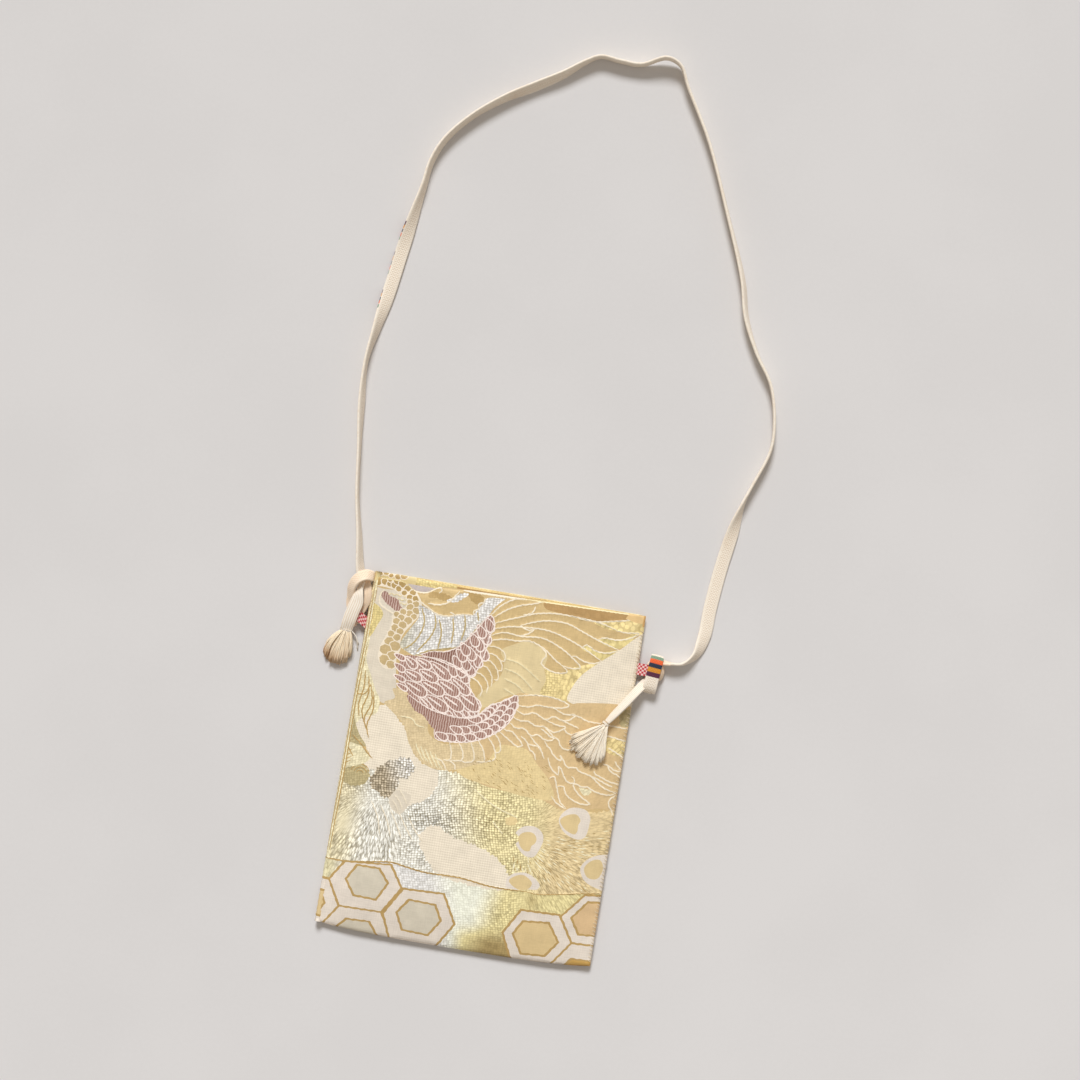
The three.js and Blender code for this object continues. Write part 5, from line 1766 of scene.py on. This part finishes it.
def add_lining(material):
    def front(x, y, u, v):
        return front_height(x, y, u, v) - LINING_OFFSET + puff(u, v) * (lining_waves(x, y) - 0.5)

    def back(x, y, u, v):
        lifted = np.maximum(0, 1 - puff(u, v) / FLAT_BACK)
        return EDGE_BOTTOM * lifted ** 2 + LINING_OFFSET + puff(u, v) * (lining_waves(x + 40, y) + 0.5)

    front_half = lining_piece("front_lining_cloth", "front_lining", FRONT_DROP, front, -1, material)
    back_half = lining_piece("back_lining_cloth", "back_lining", 0, back, 1, material)


# Tape loops in the side seams
LOOP_WIDTH = 9.5
LOOP_TAPE = 0.7
LOOP_EYE = 5.4
LOOP_MIDDLE = 103.5
SEAM_HEIGHT = 5
CHECKS_ACROSS = 6
LEFT_LOOP_REACH = 10.5
LEFT_LOOP_RISE = 0.7
RIGHT_LOOP_REACH = 13.5
TAPE_WHITE, TAPE_RED = rgb("#F3CFC9"), rgb("#C4333C")


def tape_line(reach, step):
    """Middle of a loop's tape, seen from its end: out along the top, round the eye and back."""
    radius = (LOOP_EYE + LOOP_TAPE) / 2
    turn = reach - radius - LOOP_TAPE / 2
    angle = np.radians(np.linspace(90, -90, 9))
    bend = np.stack([turn + radius * np.cos(angle), radius * np.sin(angle)], -1)
    throat = [(-1.6, 0.5), (0.6, 0.55)]
    return spline([*throat, *bend, *[(x, -z) for x, z in reversed(throat)]], step)


def tape_points(side, reach, rise):
    """Rings of points round the tape, from one end of it to the other."""
    line = tape_line(reach, LOOP_WIDTH / CHECKS_ACROSS / 2)
    way = unit(np.gradient(line, axis=0))
    normal = np.stack([-way[:, 1], way[:, 0]], -1) * LOOP_TAPE / 2
    seam = half_width(LOOP_MIDDLE / HALF_HEIGHT)
    across = np.linspace(-LOOP_WIDTH / 2, LOOP_WIDTH / 2, CHECKS_ACROSS + 1)
    layers = []
    for row, order in ((line + normal, across), (line - normal, across[::-1])):
        out = np.broadcast_to(row[:, :1], (len(row), len(across)))
        y = LOOP_MIDDLE + order + rise * np.maximum(0, out)
        z = np.broadcast_to(SEAM_HEIGHT + row[:, 1:], out.shape)
        layers.append(np.stack([side * (seam + out), y, z], -1))
    return np.concatenate(layers, axis=1)


def tape_loop(name, node, side, reach, rise, material):
    """A looped band of checked tape, closed round its thickness."""
    points = tape_points(side, reach, rise)
    rows, columns = points.shape[:2]
    index = np.arange(rows * columns).reshape(rows, columns)
    caps = [index[0, ::-1].tolist(), index[-1].tolist()]
    order = slice(None, None, -side)
    faces = round_quads(index)[:, order].tolist() + [cap[order] for cap in caps]
    piece = add_mesh(name, points.reshape(-1, 3), faces, material, smooth=False)
    row, column = np.divmod(np.arange((rows - 1) * columns), columns)
    column = np.where(column > CHECKS_ACROSS, columns - 2 - column, column)
    white = ((row // 2 + column) % 2 == 0) & (column >= 0) & (column < CHECKS_ACROSS)
    shades = np.where(white[:, None], TAPE_WHITE, TAPE_RED)
    corners = np.concatenate([np.repeat(shades, 4, axis=0), np.tile(TAPE_RED, (2 * columns, 1))])
    set_attribute(piece, "thread_color", "FLOAT_COLOR", "CORNER", with_alpha(corners))
    stand_for(node)


def add_loops(material):
    tape_loop("left_loop_tape", "left_loop", -1, LEFT_LOOP_REACH, LEFT_LOOP_RISE, material)
    tape_loop("right_loop_tape", "right_loop", 1, RIGHT_LOOP_REACH, 0, material)


# Seam stitches
STITCH_PITCH = 3.1
STITCH_RADIUS = 0.26
STITCH_COLOR = rgb("#EBDDC2")


def add_stitches(material):
    """Slanted stitches over the right seam, which was closed by hand."""
    chance = random.Random(21)
    t = np.linspace(0, 1, THREAD_STEPS)
    lines = []
    for y in np.arange(-HALF_HEIGHT + 8, HALF_HEIGHT - 9, STITCH_PITCH):
        reach = 1.5 + chance.uniform(-0.3, 0.3)
        x = half_width(y / HALF_HEIGHT) + reach * (t * 2.3 - 1.3)
        over = front_surface(x, y - 1.5 * t + chance.uniform(-0.3, 0.3))
        lines.append(over + UP * 0.22 * np.sin(math.pi * t)[:, None] ** 0.5)
    piece = thread_tubes("right_seam_stitches", lines, STITCH_RADIUS, STITCH_COLOR, material)


add_camera()
add_light()
add_floor()
cord_look = cord_material()
strap, strap_line = add_strap(cord_look)
hitches = add_hitches(cord_look)
tassels = add_tassels(cord_look)
add_panels(brocade_material())
add_lining(lining_material())
add_loops(tape_material())
add_stitches(cord_look)
